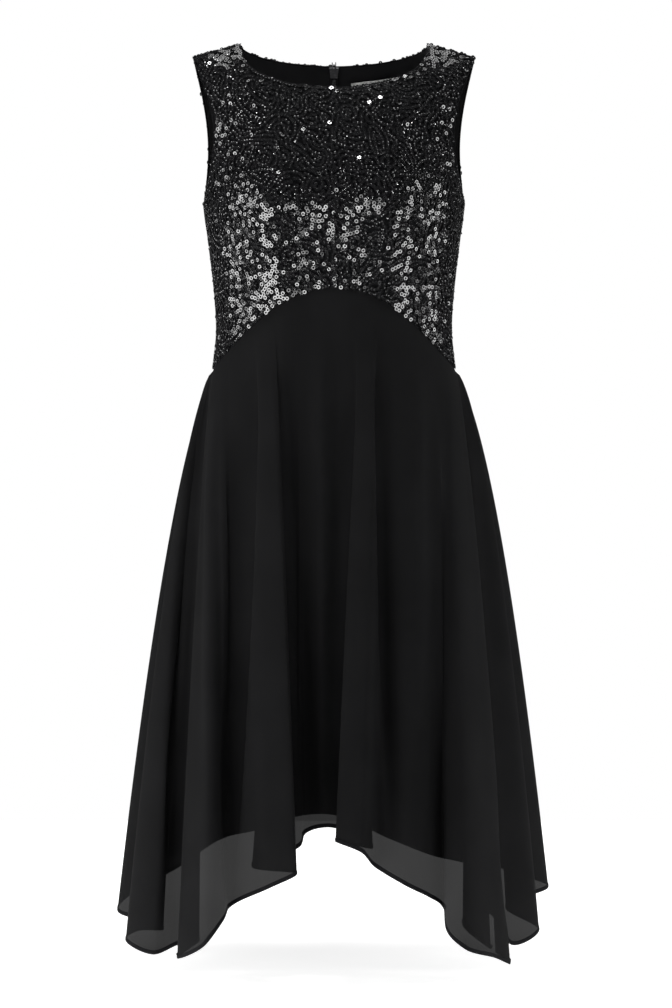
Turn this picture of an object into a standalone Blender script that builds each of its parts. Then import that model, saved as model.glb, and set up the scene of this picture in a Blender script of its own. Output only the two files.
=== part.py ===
"""A sleeveless evening dress: sequinned bodice, arched seam, two-cornered chiffon skirt over a short lining.

Metres, +Z up. The front faces -Y and the wearer's left is at +X. The origin is midway between the two
shoulder seams, where the dress is held up. Every piece of cloth is a thin wall: a grid of points on the
dress's own form, thickened inwards.
"""
import math

import bmesh
import bpy
from mathutils import Matrix, Vector
from mathutils.bvhtree import BVHTree

# ---------------------------------------------------------------- driving dimensions, metres and degrees
BODICE_WALL = 0.0015
CHIFFON_WALL = 0.0012
LINING_WALL = 0.0010
SEAM_GAP = 0.0003

NECK_HALF_WIDTH = 0.1175
NECK_POINT_Z = 0.0074
SHOULDER_TIP_Z = -0.0094
FRONT_NECK_DROP = 0.0610
BACK_NECK_DROP = 0.0219
FRONT_NECK_ROUNDNESS = 2.2
BACK_NECK_ROUNDNESS = 2.0

UNDERARM_LEVEL = -0.1925
FRONT_ARMHOLE_CUT = 28.0
BACK_ARMHOLE_CUT = 19.0
ARMHOLE_ROUNDNESS = 0.55

ARCH_TOP_Z = -0.3002
SEAM_SIDE_Z = -0.3975
SEAM_BACK_Z = -0.3895

BUST_FULLNESS = 0.017
BUST_X, BUST_Z = 0.080, -0.186
BUST_WIDTH, BUST_HEIGHT = 0.044, 0.056

FLARE_POWER = 0.60
LINING_FLARE_POWER = 0.80
LINING_HALF_WIDTH, LINING_FRONT_DEPTH, LINING_BACK_DEPTH = 0.205, 0.121, 0.130
LINING_WAVES, LINING_WAVE_DEPTH = 9, 0.004

TAPE_HALF_WIDTH = 0.0057

LABEL_LEFT_X, LABEL_WIDTH, LABEL_HEIGHT = 0.0215, 0.058, 0.030
LABEL_TOP_Z, LABEL_RISE, LABEL_WALL = -0.0345, 0.0060, 0.0010

# The torso's form. level: height at the side; lift: how much higher the section is at the centre
FORM_SECTIONS = (
    # level, lift, half_width, front_depth, back_depth
    (-0.0094, 0.0505, 0.1760, 0.0000, 0.0000),
    (-0.0325, 0.0180, 0.1745, 0.0500, 0.0580),
    (-0.0625, 0.0060, 0.1720, 0.0780, 0.0800),
    (-0.1225, 0.0000, 0.1670, 0.1040, 0.0990),
    (-0.1925, 0.0000, 0.1625, 0.1220, 0.1080),
    (-0.2425, 0.0000, 0.1560, 0.1190, 0.1040),
    (-0.3025, 0.0000, 0.1490, 0.1080, 0.0940),
    (-0.3525, 0.0000, 0.1463, 0.1030, 0.0890),
    (-0.3975, 0.0000, 0.1510, 0.1040, 0.0930),
)

# Soft vertical folds of the front bodice under the bust, running from the bust down to the arch
BODICE_FOLDS = (
    # x_top, x_bottom, depth, width
    (-0.108, -0.066, 0.0030, 0.016),
    (-0.034, -0.028, -0.0030, 0.014),
    (0.011, 0.012, 0.0026, 0.013),
    (0.050, 0.046, -0.0028, 0.014),
    (0.114, 0.088, 0.0030, 0.016),
)
FOLDS_START, FOLDS_END = 1.6, 1.9

# The skirt's folds, once round from the left side seam: where each hangs from and where its hem is.
# seam_angle: degrees round the seam, 0 at the centre front and 180 at the centre back
# growth: how the fold opens below the seam, a low value early and a high one late
HEM_FOLDS = (
    # name, seam_angle, x, y, z, growth
    ("left corner", -90.0, -0.190, -0.120, -1.112, 0.9),
    ("corner ridge", -79.0, -0.153, -0.190, -1.084, 0.9),
    ("ridge side", -70.0, -0.131, -0.176, -1.057, 0.9),
    ("left valley", -64.0, -0.124, -0.152, -1.045, 0.9),
    ("left front", -46.0, -0.078, -0.196, -1.016, 0.8),
    ("left lap edge", -35.0, -0.045, -0.207, -0.999, 0.75),
    ("left lap turn", -31.0, -0.045, -0.194, -0.998, 0.75),
    ("left lap inside", -25.0, -0.098, -0.150, -0.997, 1.30),
    ("left under lap", -20.0, -0.040, -0.147, -0.973, 0.8),
    ("recess left", -15.0, -0.034, -0.137, -0.959, 0.9),
    ("recess", -2.0, -0.005, -0.137, -0.951, 0.9),
    ("right lap inside", 8.0, 0.046, -0.150, -0.975, 0.9),
    ("right lap edge", 15.0, 0.001, -0.190, -0.961, 0.9),
    ("right front", 23.0, 0.033, -0.213, -0.971, 0.8),
    ("right dip", 31.0, 0.050, -0.186, -0.993, 0.9),
    ("right panel", 43.0, 0.084, -0.196, -1.012, 0.9),
    ("right panel side", 52.0, 0.114, -0.180, -1.029, 0.9),
    ("right valley", 58.0, 0.130, -0.158, -1.044, 0.9),
    ("right ridge side", 64.0, 0.134, -0.180, -1.070, 0.9),
    ("right ridge", 72.0, 0.155, -0.206, -1.086, 0.9),
    ("right ridge end", 83.0, 0.192, -0.168, -1.103, 0.9),
    ("right corner", 89.0, 0.213, -0.130, -1.117, 0.9),
    ("right inner lap", 91.5, 0.156, -0.124, -1.072, 1.0),
    ("right inner", 93.5, 0.188, -0.096, -1.062, 0.80),
    ("right side front", 95.0, 0.217, -0.084, -1.103, 0.72),
    ("right side edge", 98.0, 0.254, -0.047, -1.092, 0.50),
    ("right side inside", 101.0, 0.216, 0.012, -1.074, 0.90),
    ("right outer front", 104.0, 0.246, 0.030, -1.063, 0.65),
    ("right outer edge", 108.0, 0.273, 0.066, -1.056, 0.52),
    ("right back valley", 118.0, 0.216, 0.106, -1.040, 1.00),
    ("right back ridge", 130.0, 0.172, 0.188, -1.020, 1.0),
    ("right back dip", 142.0, 0.118, 0.150, -1.005, 1.0),
    ("right inner ridge", 158.0, 0.066, 0.206, -0.985, 1.0),
    ("centre back", 180.0, 0.000, 0.168, -0.972, 1.0),
    ("left inner ridge", 200.0, -0.050, 0.207, -0.982, 1.0),
    ("left back dip", 214.0, -0.094, 0.155, -0.996, 1.0),
    ("left back ridge", 227.0, -0.148, 0.195, -1.015, 1.0),
    ("left back valley", 240.0, -0.202, 0.125, -1.042, 1.00),
    ("left outer far", 248.0, -0.262, 0.100, -1.073, 0.60),
    ("left outer edge", 252.0, -0.275, 0.058, -1.087, 0.60),
    ("left outer front", 255.0, -0.242, 0.030, -1.094, 0.68),
    ("left side inside", 257.5, -0.214, 0.002, -1.100, 0.90),
    ("left side far", 260.0, -0.244, -0.022, -1.097, 0.70),
    ("left side edge", 262.0, -0.257, -0.058, -1.103, 0.60),
    ("left side front", 264.5, -0.219, -0.100, -1.112, 0.70),
    ("left inner", 266.5, -0.190, -0.078, -1.104, 0.80),
    ("left inner lap", 268.3, -0.164, -0.116, -1.093, 0.90),
)
MEAN_REACH = 3.0

# Hem of the skirt lining round the figure
LINING_HEM = (
    # seam_angle, z
    (-90.0, -1.012),
    (-56.0, -0.990),
    (-29.0, -0.958),
    (-2.0, -0.938),
    (20.0, -0.970),
    (40.0, -0.996),
    (90.0, -1.020),
    (135.0, -0.985),
    (180.0, -0.950),
    (225.0, -0.980),
    (270.0, -1.012),
)

# How finely each wall is divided
BODICE_COLUMNS, BODICE_ROWS = 12, 15
SHOULDER_SHARE, ARMHOLE_SHARE = 1 / 3, 8 / 15
STRAP_PULL = 1.3
SKIRT_STEPS, SKIRT_ROWS = 3, 13
LINING_COLUMNS, LINING_ROWS = 24, 9
ZIP_ROWS = 4
ROW_SPACING = 1.3
LABEL_COLUMNS, LABEL_ROWS = 6, 4
ROUND_SEGMENTS = 16
SMOOTH_ANGLE = 50
HALVINGS = 40
MERGE_DISTANCE = 0.00001

# The zip's slider and pull, in the frame of the back neck edge: x across, t up along the edge, n outwards
PLATE_TOP_WIDTH, PLATE_FOOT_WIDTH, PLATE_LENGTH, PLATE_THICKNESS = 0.0118, 0.0090, 0.0140, 0.0020
PLATE_PROUD = 0.0005
BAIL_HALF_WIDTH, BAIL_WIRE, BAIL_RISE = 0.0022, 0.0006, 0.0045
BAIL_SEAT, BAIL_FLATNESS, BAIL_TURN_STEP = 0.0080, 0.8, 30
PIN_OUT = 0.0032
EYE_CLEARANCE, EYE_WALL, EYE_WIDTH = 0.00035, 0.0010, 0.0024
PULL_LENGTH, PULL_NECK_WIDTH, PULL_FOOT_WIDTH, PULL_THICKNESS = 0.0260, 0.0023, 0.0070, 0.0012
PULL_LEAN, PULL_TURN_STEP = 4.0, 20


# ---------------------------------------------------------------- small tools
def hermite(p0, p1, m0, m1, span, f):
    """A cubic from p0 to p1 with slopes m0 and m1, at the fraction f of a span this long."""
    f2, f3 = f * f, f * f * f
    return (
        p0 * (2 * f3 - 3 * f2 + 1)
        + m0 * (span * (f3 - 2 * f2 + f))
        + p1 * (3 * f2 - 2 * f3)
        + m1 * (span * (f3 - f2))
    )


def table_value(table, key, column):
    """The smooth value of one column at this key, which is the table's first column, in either order."""
    rows = sorted(table, key=lambda row: row[0])
    key = min(max(key, rows[0][0]), rows[-1][0])
    i = max(k for k in range(len(rows) - 1) if rows[k][0] <= key)

    def slope(k):
        low, high = max(k - 1, 0), min(k + 1, len(rows) - 1)
        return (rows[high][column] - rows[low][column]) / (rows[high][0] - rows[low][0])

    span = rows[i + 1][0] - rows[i][0]
    return hermite(
        rows[i][column], rows[i + 1][column], slope(i), slope(i + 1), span, (key - rows[i][0]) / span
    )


def sine(degrees):
    return math.sin(math.radians(degrees))


def cosine(degrees):
    return math.cos(math.radians(degrees))


def bump(x, width):
    return math.exp(-((x / width) ** 2))


# ---------------------------------------------------------------- the torso's form
def form_z(angle, level):
    return level + table_value(FORM_SECTIONS, level, 1) * (1 - abs(sine(angle)))


def form_point(angle, level):
    """A point of the bodice's outer face; angle is 0 at the centre front, 90 at +X and 180 at the back."""
    front = cosine(angle) >= 0
    half_width = table_value(FORM_SECTIONS, level, 2)
    depth = table_value(FORM_SECTIONS, level, 3 if front else 4)
    x, y, z = half_width * sine(angle), -depth * cosine(angle), form_z(angle, level)
    if front:
        y -= front_fullness(x, z) * cosine(angle)
    return Vector((x, y, z))


def front_fullness(x, z):
    """How far the bust and the soft folds under it stand out from the plain form."""
    fullness = BUST_FULLNESS * bump(abs(x) - BUST_X, BUST_WIDTH) * bump(z - BUST_Z, BUST_HEIGHT)
    along = (BUST_Z - z) / (BUST_Z - ARCH_TOP_Z)
    fade = max(0.0, min(1.0, along * FOLDS_START)) * max(0.0, min(1.0, FOLDS_END - along))
    for x_top, x_bottom, depth, width in BODICE_FOLDS:
        middle = x_top + (x_bottom - x_top) * along
        fullness += depth * fade * bump(x - middle, width)
    return fullness


def level_at(x, z):
    """The level whose section passes the height z at the distance x from the centre."""
    low, high = UNDERARM_LEVEL, SHOULDER_TIP_Z
    for _ in range(HALVINGS):
        middle = (low + high) / 2
        share = min(1.0, abs(x) / table_value(FORM_SECTIONS, middle, 2))
        height = middle + table_value(FORM_SECTIONS, middle, 1) * (1 - share)
        low, high = (middle, high) if height < z else (low, middle)
    return (low + high) / 2


def form_normal(angle, level):
    step = 0.5
    rise = 0.001
    across = form_point(angle + step, level) - form_point(angle - step, level)
    upwards = form_point(angle, level + rise) - form_point(angle, level - rise)
    return across.cross(upwards).normalized()


def arch_level(angle):
    """The seam between bodice and skirt: an arch under the bust, nearly level round the back."""
    if cosine(angle) >= 0:
        return ARCH_TOP_Z + (SEAM_SIDE_Z - ARCH_TOP_Z) * sine(angle) ** 2
    return SEAM_SIDE_Z + (SEAM_BACK_Z - SEAM_SIDE_Z) * cosine(angle) ** 2


# ---------------------------------------------------------------- outlines of the bodice halves
def neckline(share, drop, roundness):
    """(x, z) of the neck edge, from its lowest point at share 0 to the neck point at share 1."""
    turn = 90 * share
    x = NECK_HALF_WIDTH * sine(turn) ** (2 / roundness)
    return x, NECK_POINT_Z - drop * cosine(turn) ** (2 / roundness)


def top_edge(u, front):
    """(angle from the centre, level) of the neckline, then of the shoulder seam."""
    tip_half_width = table_value(FORM_SECTIONS, SHOULDER_TIP_Z, 2)
    neck_share = 1 - SHOULDER_SHARE
    if u <= neck_share:
        drop = FRONT_NECK_DROP if front else BACK_NECK_DROP
        x, z = neckline(u / neck_share, drop, FRONT_NECK_ROUNDNESS if front else BACK_NECK_ROUNDNESS)
    else:
        along = (u - neck_share) / SHOULDER_SHARE
        x = NECK_HALF_WIDTH + (tip_half_width - NECK_HALF_WIDTH) * along
        z = NECK_POINT_Z + (SHOULDER_TIP_Z - NECK_POINT_Z) * along
    level = level_at(x, z)
    return math.degrees(math.asin(min(1.0, x / table_value(FORM_SECTIONS, level, 2)))), level


def side_edge(v, front):
    """(angle from the centre, level) of the side seam, then of the armhole up to the shoulder tip."""
    seam_share = 1 - ARMHOLE_SHARE
    if v <= seam_share:
        return 90.0, SEAM_SIDE_Z + (UNDERARM_LEVEL - SEAM_SIDE_Z) * v / seam_share
    turn = 180 * (v - seam_share) / ARMHOLE_SHARE
    height = (1 - cosine(turn)) / 2
    cut = FRONT_ARMHOLE_CUT if front else BACK_ARMHOLE_CUT
    level = UNDERARM_LEVEL + (SHOULDER_TIP_Z - UNDERARM_LEVEL) * height
    return 90.0 - cut * sine(180 * height) ** ARMHOLE_ROUNDNESS, level


def bodice_grid(front, columns, rows):
    """(angle from the centre, level) over half a panel: foot to top, its strap drawn in to the armhole."""
    corner_side, corner_tip = Vector(side_edge(0, front)), Vector(side_edge(1, front))
    grid = []
    for j in range(rows + 1):
        v = j / rows
        pull = Vector(side_edge(v, front)) - corner_side.lerp(corner_tip, v)
        row = []
        for i in range(columns + 1):
            u = i / columns
            across_strap = max(0.0, 1 - (1 - u) / SHOULDER_SHARE)
            foot_angle = 90 * u
            foot = Vector((foot_angle, arch_level(foot_angle if front else 180 - foot_angle)))
            top = Vector(top_edge(u, front))
            row.append(foot.lerp(top, v) + pull * across_strap**STRAP_PULL)
        grid.append(row)
    return grid


def shoulder_normal(angle):
    """The normal that the front and the back share along the shoulder seam."""
    front = form_normal(angle, SHOULDER_TIP_Z)
    back_angle = math.copysign(180, angle) - angle
    return (front + form_normal(back_angle, SHOULDER_TIP_Z)).normalized()


def bodice_points(front, side, columns, rows):
    """Points and normals of half a bodice panel's outer face; side is 1 at +X and -1 at -X."""
    points, normals = [], []
    for j, row in enumerate(bodice_grid(front, columns, rows)):
        line, line_normals = [], []
        for i, (angle, level) in enumerate(row):
            round_angle = side * angle if front else side * (180 - angle)
            line.append(form_point(round_angle, level))
            if j == rows and i >= columns * (1 - SHOULDER_SHARE):
                line_normals.append(shoulder_normal(side * angle))
            else:
                line_normals.append(form_normal(round_angle, level))
        points.append(line)
        normals.append(line_normals)
    return points, normals


def trim_shoulder(grid, columns):
    """Draws the shoulder part of a half panel's top row back by half a seam's gap."""
    for i in range(round(columns * (1 - SHOULDER_SHARE)), columns + 1):
        grid[-1][i] = grid[-1][i] + (grid[-2][i] - grid[-1][i]).normalized() * (SEAM_GAP / 2)


# ---------------------------------------------------------------- the skirt
def hem_line(steps):
    """(seam_angle, hem point, growth) once round, with this many steps from each fold row to the next."""
    rows = [(angle, Vector((x, y, z)), growth) for _, angle, x, y, z, growth in HEM_FOLDS]
    count = len(rows)
    chords = [math.sqrt((rows[(k + 1) % count][1] - rows[k][1]).length) for k in range(count)]

    def slope(k):
        before, after = chords[k - 1], chords[k % count]
        here = rows[k % count][1]
        ahead, behind = rows[(k + 1) % count][1], rows[k - 1][1]
        return ((ahead - here) * (before / after) + (here - behind) * (after / before)) / (before + after)

    line = []
    for k in range(count):
        here, ahead = rows[k], rows[(k + 1) % count]
        ahead_angle = ahead[0] if k + 1 < count else ahead[0] + 360
        for j in range(steps):
            f = j / steps
            point = hermite(here[1], ahead[1], slope(k), slope((k + 1) % count), chords[k], f)
            angle = here[0] + (ahead_angle - here[0]) * f
            line.append((angle, point, here[2] + (ahead[2] - here[2]) * f))
    return line


def hem_means(line, steps):
    """The hem without its folds: each point's mean with its neighbours, nearer ones counting more."""
    reach = int(2 * MEAN_REACH * steps)
    weights = {k: bump(k, MEAN_REACH * steps) for k in range(-reach, reach + 1)}
    total = sum(weights.values())
    means = []
    for i in range(len(line)):
        mean = Vector((0, 0, 0))
        for k, weight in weights.items():
            mean += line[(i + k) % len(line)][1] * (weight / total)
        means.append(mean)
    return means


def skirt_ring(steps, rows):
    """Points of the outer skirt's outer face, a list for each column round, each from the seam to the hem."""
    line = hem_line(steps)
    columns = []
    for (angle, hem, growth), mean in zip(line, hem_means(line, steps)):
        top = form_point(angle, arch_level(angle))
        top.z -= 2 * SEAM_GAP
        column = []
        for j in range(rows + 1):
            t = (j / rows) ** ROW_SPACING
            flare = t**FLARE_POWER
            opening = t**growth
            point = top + (mean - top) * flare + (hem - mean) * opening
            point.z = top.z + (hem.z - top.z) * t
            column.append(point)
        columns.append((angle, column))
    return columns


def ring_normals(columns):
    """The outward normals at a closed ring's points, from the neighbours of each."""
    count, last = len(columns), len(columns[0]) - 1
    normals = []
    for i in range(count):
        line = []
        for j in range(last + 1):
            across = columns[(i + 1) % count][j] - columns[i - 1][j]
            upwards = columns[i][max(j - 1, 0)] - columns[i][min(j + 1, last)]
            line.append(across.cross(upwards).normalized())
        normals.append(line)
    return normals


def lining_point(angle, t):
    """A point of the skirt lining's outer face, t from 0 at the seam to 1 at its hem."""
    level = arch_level(angle)
    top = form_point(angle, level) - form_normal(angle, level) * (BODICE_WALL + 2 * SEAM_GAP)
    top.z -= 2 * SEAM_GAP
    depth = LINING_FRONT_DEPTH if cosine(angle) >= 0 else LINING_BACK_DEPTH
    wave = 1 + LINING_WAVE_DEPTH / LINING_HALF_WIDTH * cosine(LINING_WAVES * angle) * t
    hem_angle = angle if angle <= 270 else angle - 360
    hem = Vector(
        (
            LINING_HALF_WIDTH * sine(angle) * wave,
            -depth * cosine(angle) * wave,
            table_value(LINING_HEM, hem_angle, 1),
        )
    )
    point = top.lerp(hem, t**LINING_FLARE_POWER)
    point.z = top.z + (hem.z - top.z) * t
    return point


# ---------------------------------------------------------------- making objects
def new_material(name, colour, roughness, metallic=0.0):
    material = bpy.data.materials.new(name)
    material.use_nodes = True
    shader = material.node_tree.nodes["Principled BSDF"]
    shader.inputs["Base Color"].default_value = (*colour, 1.0)
    shader.inputs["Roughness"].default_value = roughness
    shader.inputs["Metallic"].default_value = metallic
    return material


def add_object(name, mesh, material, collection):
    obj = bpy.data.objects.new(name, mesh)
    obj.data.materials.clear()
    obj.data.materials.append(material)
    collection.objects.link(obj)
    return obj


def trim_edges(grid, first, last):
    """Draws the first and last columns of a grid of rows back by half a seam's gap."""
    for row in grid:
        if first:
            row[0] = row[0] + (row[1] - row[0]).normalized() * (SEAM_GAP / 2)
        if last:
            row[-1] = row[-1] + (row[-2] - row[-1]).normalized() * (SEAM_GAP / 2)


def wall(name, outer, inner, material, collection):
    """A cloth wall between two grids of points, foot to top and left to right seen from outside.

    Each face is a grid primitive laid on its points, and their edges are bridged into the rim.
    """
    rows, columns = len(outer), len(outer[0])
    bm = bmesh.new()
    for grid in (outer, inner):
        made = bmesh.ops.create_grid(bm, x_segments=columns - 1, y_segments=rows - 1, size=1)
        points = [point for row in grid for point in row]
        for vertex, point in zip(made["verts"], points):
            vertex.co = point
    bmesh.ops.triangulate(bm, faces=bm.faces, quad_method="FIXED")
    rim = [edge for edge in bm.edges if edge.is_boundary]
    bmesh.ops.bridge_loops(bm, edges=rim)
    bmesh.ops.recalc_face_normals(bm, faces=bm.faces)
    mesh = bpy.data.meshes.new(name)
    bm.to_mesh(mesh)
    bm.free()
    mesh.shade_smooth()
    mesh.set_sharp_from_angle(angle=math.radians(SMOOTH_ANGLE))
    return add_object(name, mesh, material, collection)


def sunk(points, normals, depth):
    """A grid of points moved this deep under the face."""
    return [
        [point - normal * depth for point, normal in zip(line, line_normals)]
        for line, line_normals in zip(points, normals)
    ]


def prism(name, outline, low, high):
    """A flat outline in its own x and y, as a 2D curve extruded from low to high in z, made a mesh."""
    curve = bpy.data.curves.new(name, "CURVE")
    curve.dimensions = "2D"
    curve.fill_mode = "BOTH"
    curve.extrude = (high - low) / 2
    spline = curve.splines.new("POLY")
    spline.points.add(len(outline) - 1)
    for point, (x, y) in zip(spline.points, outline):
        point.co = (x, y, 0, 1)
    spline.use_cyclic_u = True
    return curve_mesh(name, curve, Matrix.Translation((0, 0, (high + low) / 2)))


def wire(name, points, radius):
    """A round wire along a list of points, with filled ends, made a mesh."""
    curve = bpy.data.curves.new(name, "CURVE")
    curve.dimensions = "3D"
    curve.bevel_depth = radius
    curve.bevel_resolution = 2
    curve.use_fill_caps = True
    spline = curve.splines.new("POLY")
    spline.points.add(len(points) - 1)
    for point, place in zip(spline.points, points):
        point.co = (*place, 1)
    return curve_mesh(name, curve, Matrix.Identity(4))


def cylinder(name, radius, length):
    """A round bar of this length that lies along x."""
    bm = bmesh.new()
    bmesh.ops.create_cone(
        bm,
        cap_ends=True,
        segments=ROUND_SEGMENTS,
        radius1=radius,
        radius2=radius,
        depth=length,
        matrix=Matrix.Rotation(math.radians(90), 4, "Y"),
    )
    mesh = bpy.data.meshes.new(name)
    bm.to_mesh(mesh)
    bm.free()
    return mesh


def curve_mesh(name, curve, placed):
    """The closed mesh of a curve, as a helper object that the render leaves out."""
    guide = bpy.data.objects.new(name + "_curve", curve)
    bpy.context.scene.collection.objects.link(guide)
    evaluated = guide.evaluated_get(bpy.context.evaluated_depsgraph_get())
    mesh = bpy.data.meshes.new_from_object(evaluated)
    bpy.data.objects.remove(guide)
    bpy.data.curves.remove(curve)
    bm = bmesh.new()
    bm.from_mesh(mesh)
    bmesh.ops.remove_doubles(bm, verts=bm.verts, dist=MERGE_DISTANCE)
    bmesh.ops.transform(bm, matrix=placed, verts=bm.verts)
    bmesh.ops.recalc_face_normals(bm, faces=bm.faces)
    bm.to_mesh(mesh)
    bm.free()
    return mesh


def cutter(name, mesh, collection, parent):
    obj = bpy.data.objects.new(name, mesh)
    obj.hide_render = True
    obj.display_type = "WIRE"
    obj.parent = parent
    collection.objects.link(obj)
    return obj


def boolean(obj, other, operation):
    modifier = obj.modifiers.new(other.name, "BOOLEAN")
    modifier.operation = operation
    modifier.object = other


# ---------------------------------------------------------------- the pieces
def slit_edge(row, side, half_width):
    """The point of a half row, listed from the centre back outwards, at this distance from the centre."""
    share = (half_width - abs(row[0].x)) / (abs(row[1].x) - abs(row[0].x))
    point = row[0].lerp(row[1], share)
    point.x = side * half_width
    return point


def make_bodice(collection, sequinned, lining):
    """The bodice's panels and back linings; it returns the lining's rows at the centre back for the zip."""
    halves = {}
    zip_rows = {}
    for front in (True, False):
        for side in (1, -1):
            points, normals = bodice_points(front, side, BODICE_COLUMNS, BODICE_ROWS)
            layers = {"outer": points, "inner": sunk(points, normals, BODICE_WALL)}
            if not front:
                depth = BODICE_WALL + 2 * SEAM_GAP
                layers["lining outer"] = sunk(points, normals, depth)
                layers["lining inner"] = sunk(points, normals, depth + LINING_WALL)
            for word, layer in layers.items():
                if "lining" in word:
                    zip_rows[side, word] = [row[:2] for row in layer]
                    for row in layer:
                        row[0] = slit_edge(row, side, TAPE_HALF_WIDTH + SEAM_GAP)
                trim_shoulder(layer, BODICE_COLUMNS)
                trim_edges(layer, not front and "lining" not in word, True)
                if front == (side < 0):
                    for row in layer:
                        row.reverse()
            halves[front, side] = layers

    whole = {}
    for word in ("outer", "inner"):
        pairs = zip(halves[True, -1][word], halves[True, 1][word])
        whole[word] = [low + high[1:] for low, high in pairs]
    wall("bodice_front", whole["outer"], whole["inner"], sequinned, collection)
    for side, word in ((1, "left"), (-1, "right")):
        layers = halves[False, side]
        wall(f"bodice_back_{word}", layers["outer"], layers["inner"], sequinned, collection)
        wall(f"bodice_lining_back_{word}", layers["lining outer"], layers["lining inner"], lining, collection)
    return zip_rows


PANELS = (
    # name, first and last angle round the seam
    ("front", -90, 90),
    ("back_left", 90, 180),
    ("back_right", 180, 270),
)


def make_skirt(collection, chiffon):
    ring = skirt_ring(SKIRT_STEPS, SKIRT_ROWS)
    angles = [angle for angle, _ in ring]
    columns = [column for _, column in ring]
    inner = list(zip(*sunk(columns, ring_normals(columns), CHIFFON_WALL)))
    outer = list(zip(*columns))
    for name, start, end in PANELS:
        wanted = [k for k, angle in enumerate(angles) if start <= angle <= end]
        if end == 270:
            wanted.append(0)
        panel = []
        for layer in (outer, inner):
            grid = [[layer[j][k] for k in wanted] for j in range(SKIRT_ROWS, -1, -1)]
            trim_edges(grid, True, True)
            panel.append(grid)
        wall(f"skirt_{name}", *panel, chiffon, collection)


def make_skirt_lining(collection, lining):
    """The skirt's lining, slit at the centre back as far as the zip; it returns the slit's rows."""
    step = 180 / LINING_COLUMNS
    columns = []
    for i in range(LINING_COLUMNS * 2):
        shares = [(j / LINING_ROWS) ** ROW_SPACING for j in range(LINING_ROWS + 1)]
        columns.append([lining_point(-90 + i * step, t) for t in shares])
    inner = sunk(columns, ring_normals(columns), LINING_WALL)
    zip_rows = {}
    for name, start, end in PANELS:
        first, last = round((start + 90) / step), round((end + 90) / step)
        panel = []
        for word, layer in (("lining outer", columns), ("lining inner", inner)):
            grid = []
            for j in range(LINING_ROWS, -1, -1):
                grid.append([layer[k % len(layer)][j].copy() for k in range(first, last + 1)])
            if 180 in (start, end):
                side = 1 if end == 180 else -1
                outwards = [row[::-1] if side > 0 else row for row in grid]
                zip_rows[side, word] = [row[:2] for row in outwards[-ZIP_ROWS - 1 :]]
                edges = [slit_edge(row, side, TAPE_HALF_WIDTH + SEAM_GAP) for row in outwards]
            trim_edges(grid, True, True)
            if 180 in (start, end):
                for row, edge in list(zip(grid, edges))[-ZIP_ROWS - 1 :]:
                    row[-1 if side > 0 else 0] = edge
            panel.append(grid)
        wall(f"skirt_lining_{name}", *panel, lining, collection)
    return zip_rows


def make_zip_tapes(collection, tape, skirt_rows, bodice_rows):
    """The tapes fill the linings' slit, edge to edge with them, from the zip's foot to the neck edge."""
    for side, word in ((1, "left"), (-1, "right")):
        layers = []
        for layer in ("lining outer", "lining inner"):
            rows = skirt_rows[side, layer] + bodice_rows[side, layer]
            grid = []
            for row in rows:
                pair = [slit_edge(row, side, SEAM_GAP / 2), slit_edge(row, side, TAPE_HALF_WIDTH)]
                grid.append(pair[::-1] if side > 0 else pair)
            layers.append(grid)
        wall(f"zip_tape_{word}", *layers, tape, collection)


def make_label(collection, white):
    """A blank label beside the zip: a patch of the back lining's inner face, moved inwards."""
    lining = bpy.data.objects["bodice_lining_back_left"]
    lining_tree = BVHTree.FromObject(lining, bpy.context.evaluated_depsgraph_get())
    outer, inner = [], []
    for j in range(LABEL_ROWS + 1):
        foot = LABEL_TOP_Z - LABEL_HEIGHT * (1 - j / LABEL_ROWS)
        line = []
        for i in range(LABEL_COLUMNS + 1):
            share = 1 - i / LABEL_COLUMNS
            x, z = LABEL_LEFT_X + LABEL_WIDTH * share, foot + LABEL_RISE * share
            hit, normal, _, _ = lining_tree.ray_cast(Vector((x, 0, z)), Vector((0, 1, 0)))
            line.append((hit, normal))
        outer.append([hit + normal * 2 * SEAM_GAP for hit, normal in line])
        inner.append([hit + normal * (2 * SEAM_GAP + LABEL_WALL) for hit, normal in line])
    wall("neck_label", outer, inner, white, collection)


def slider_frame(zip_rows):
    """The frame on the bodice's outer face at the back neck edge: y up the centre back, z outwards."""
    top, below = (zip_rows[1, "lining outer"][k][0] for k in (-1, -2))
    along = Vector((0, top.y - below.y, top.z - below.z)).normalized()
    across = Vector((-1, 0, 0))
    normal = across.cross(along)
    frame = Matrix((across, along, normal)).transposed().to_4x4()
    frame.translation = Vector((0, top.y, top.z)) + normal * (BODICE_WALL + 2 * SEAM_GAP)
    return frame


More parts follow.
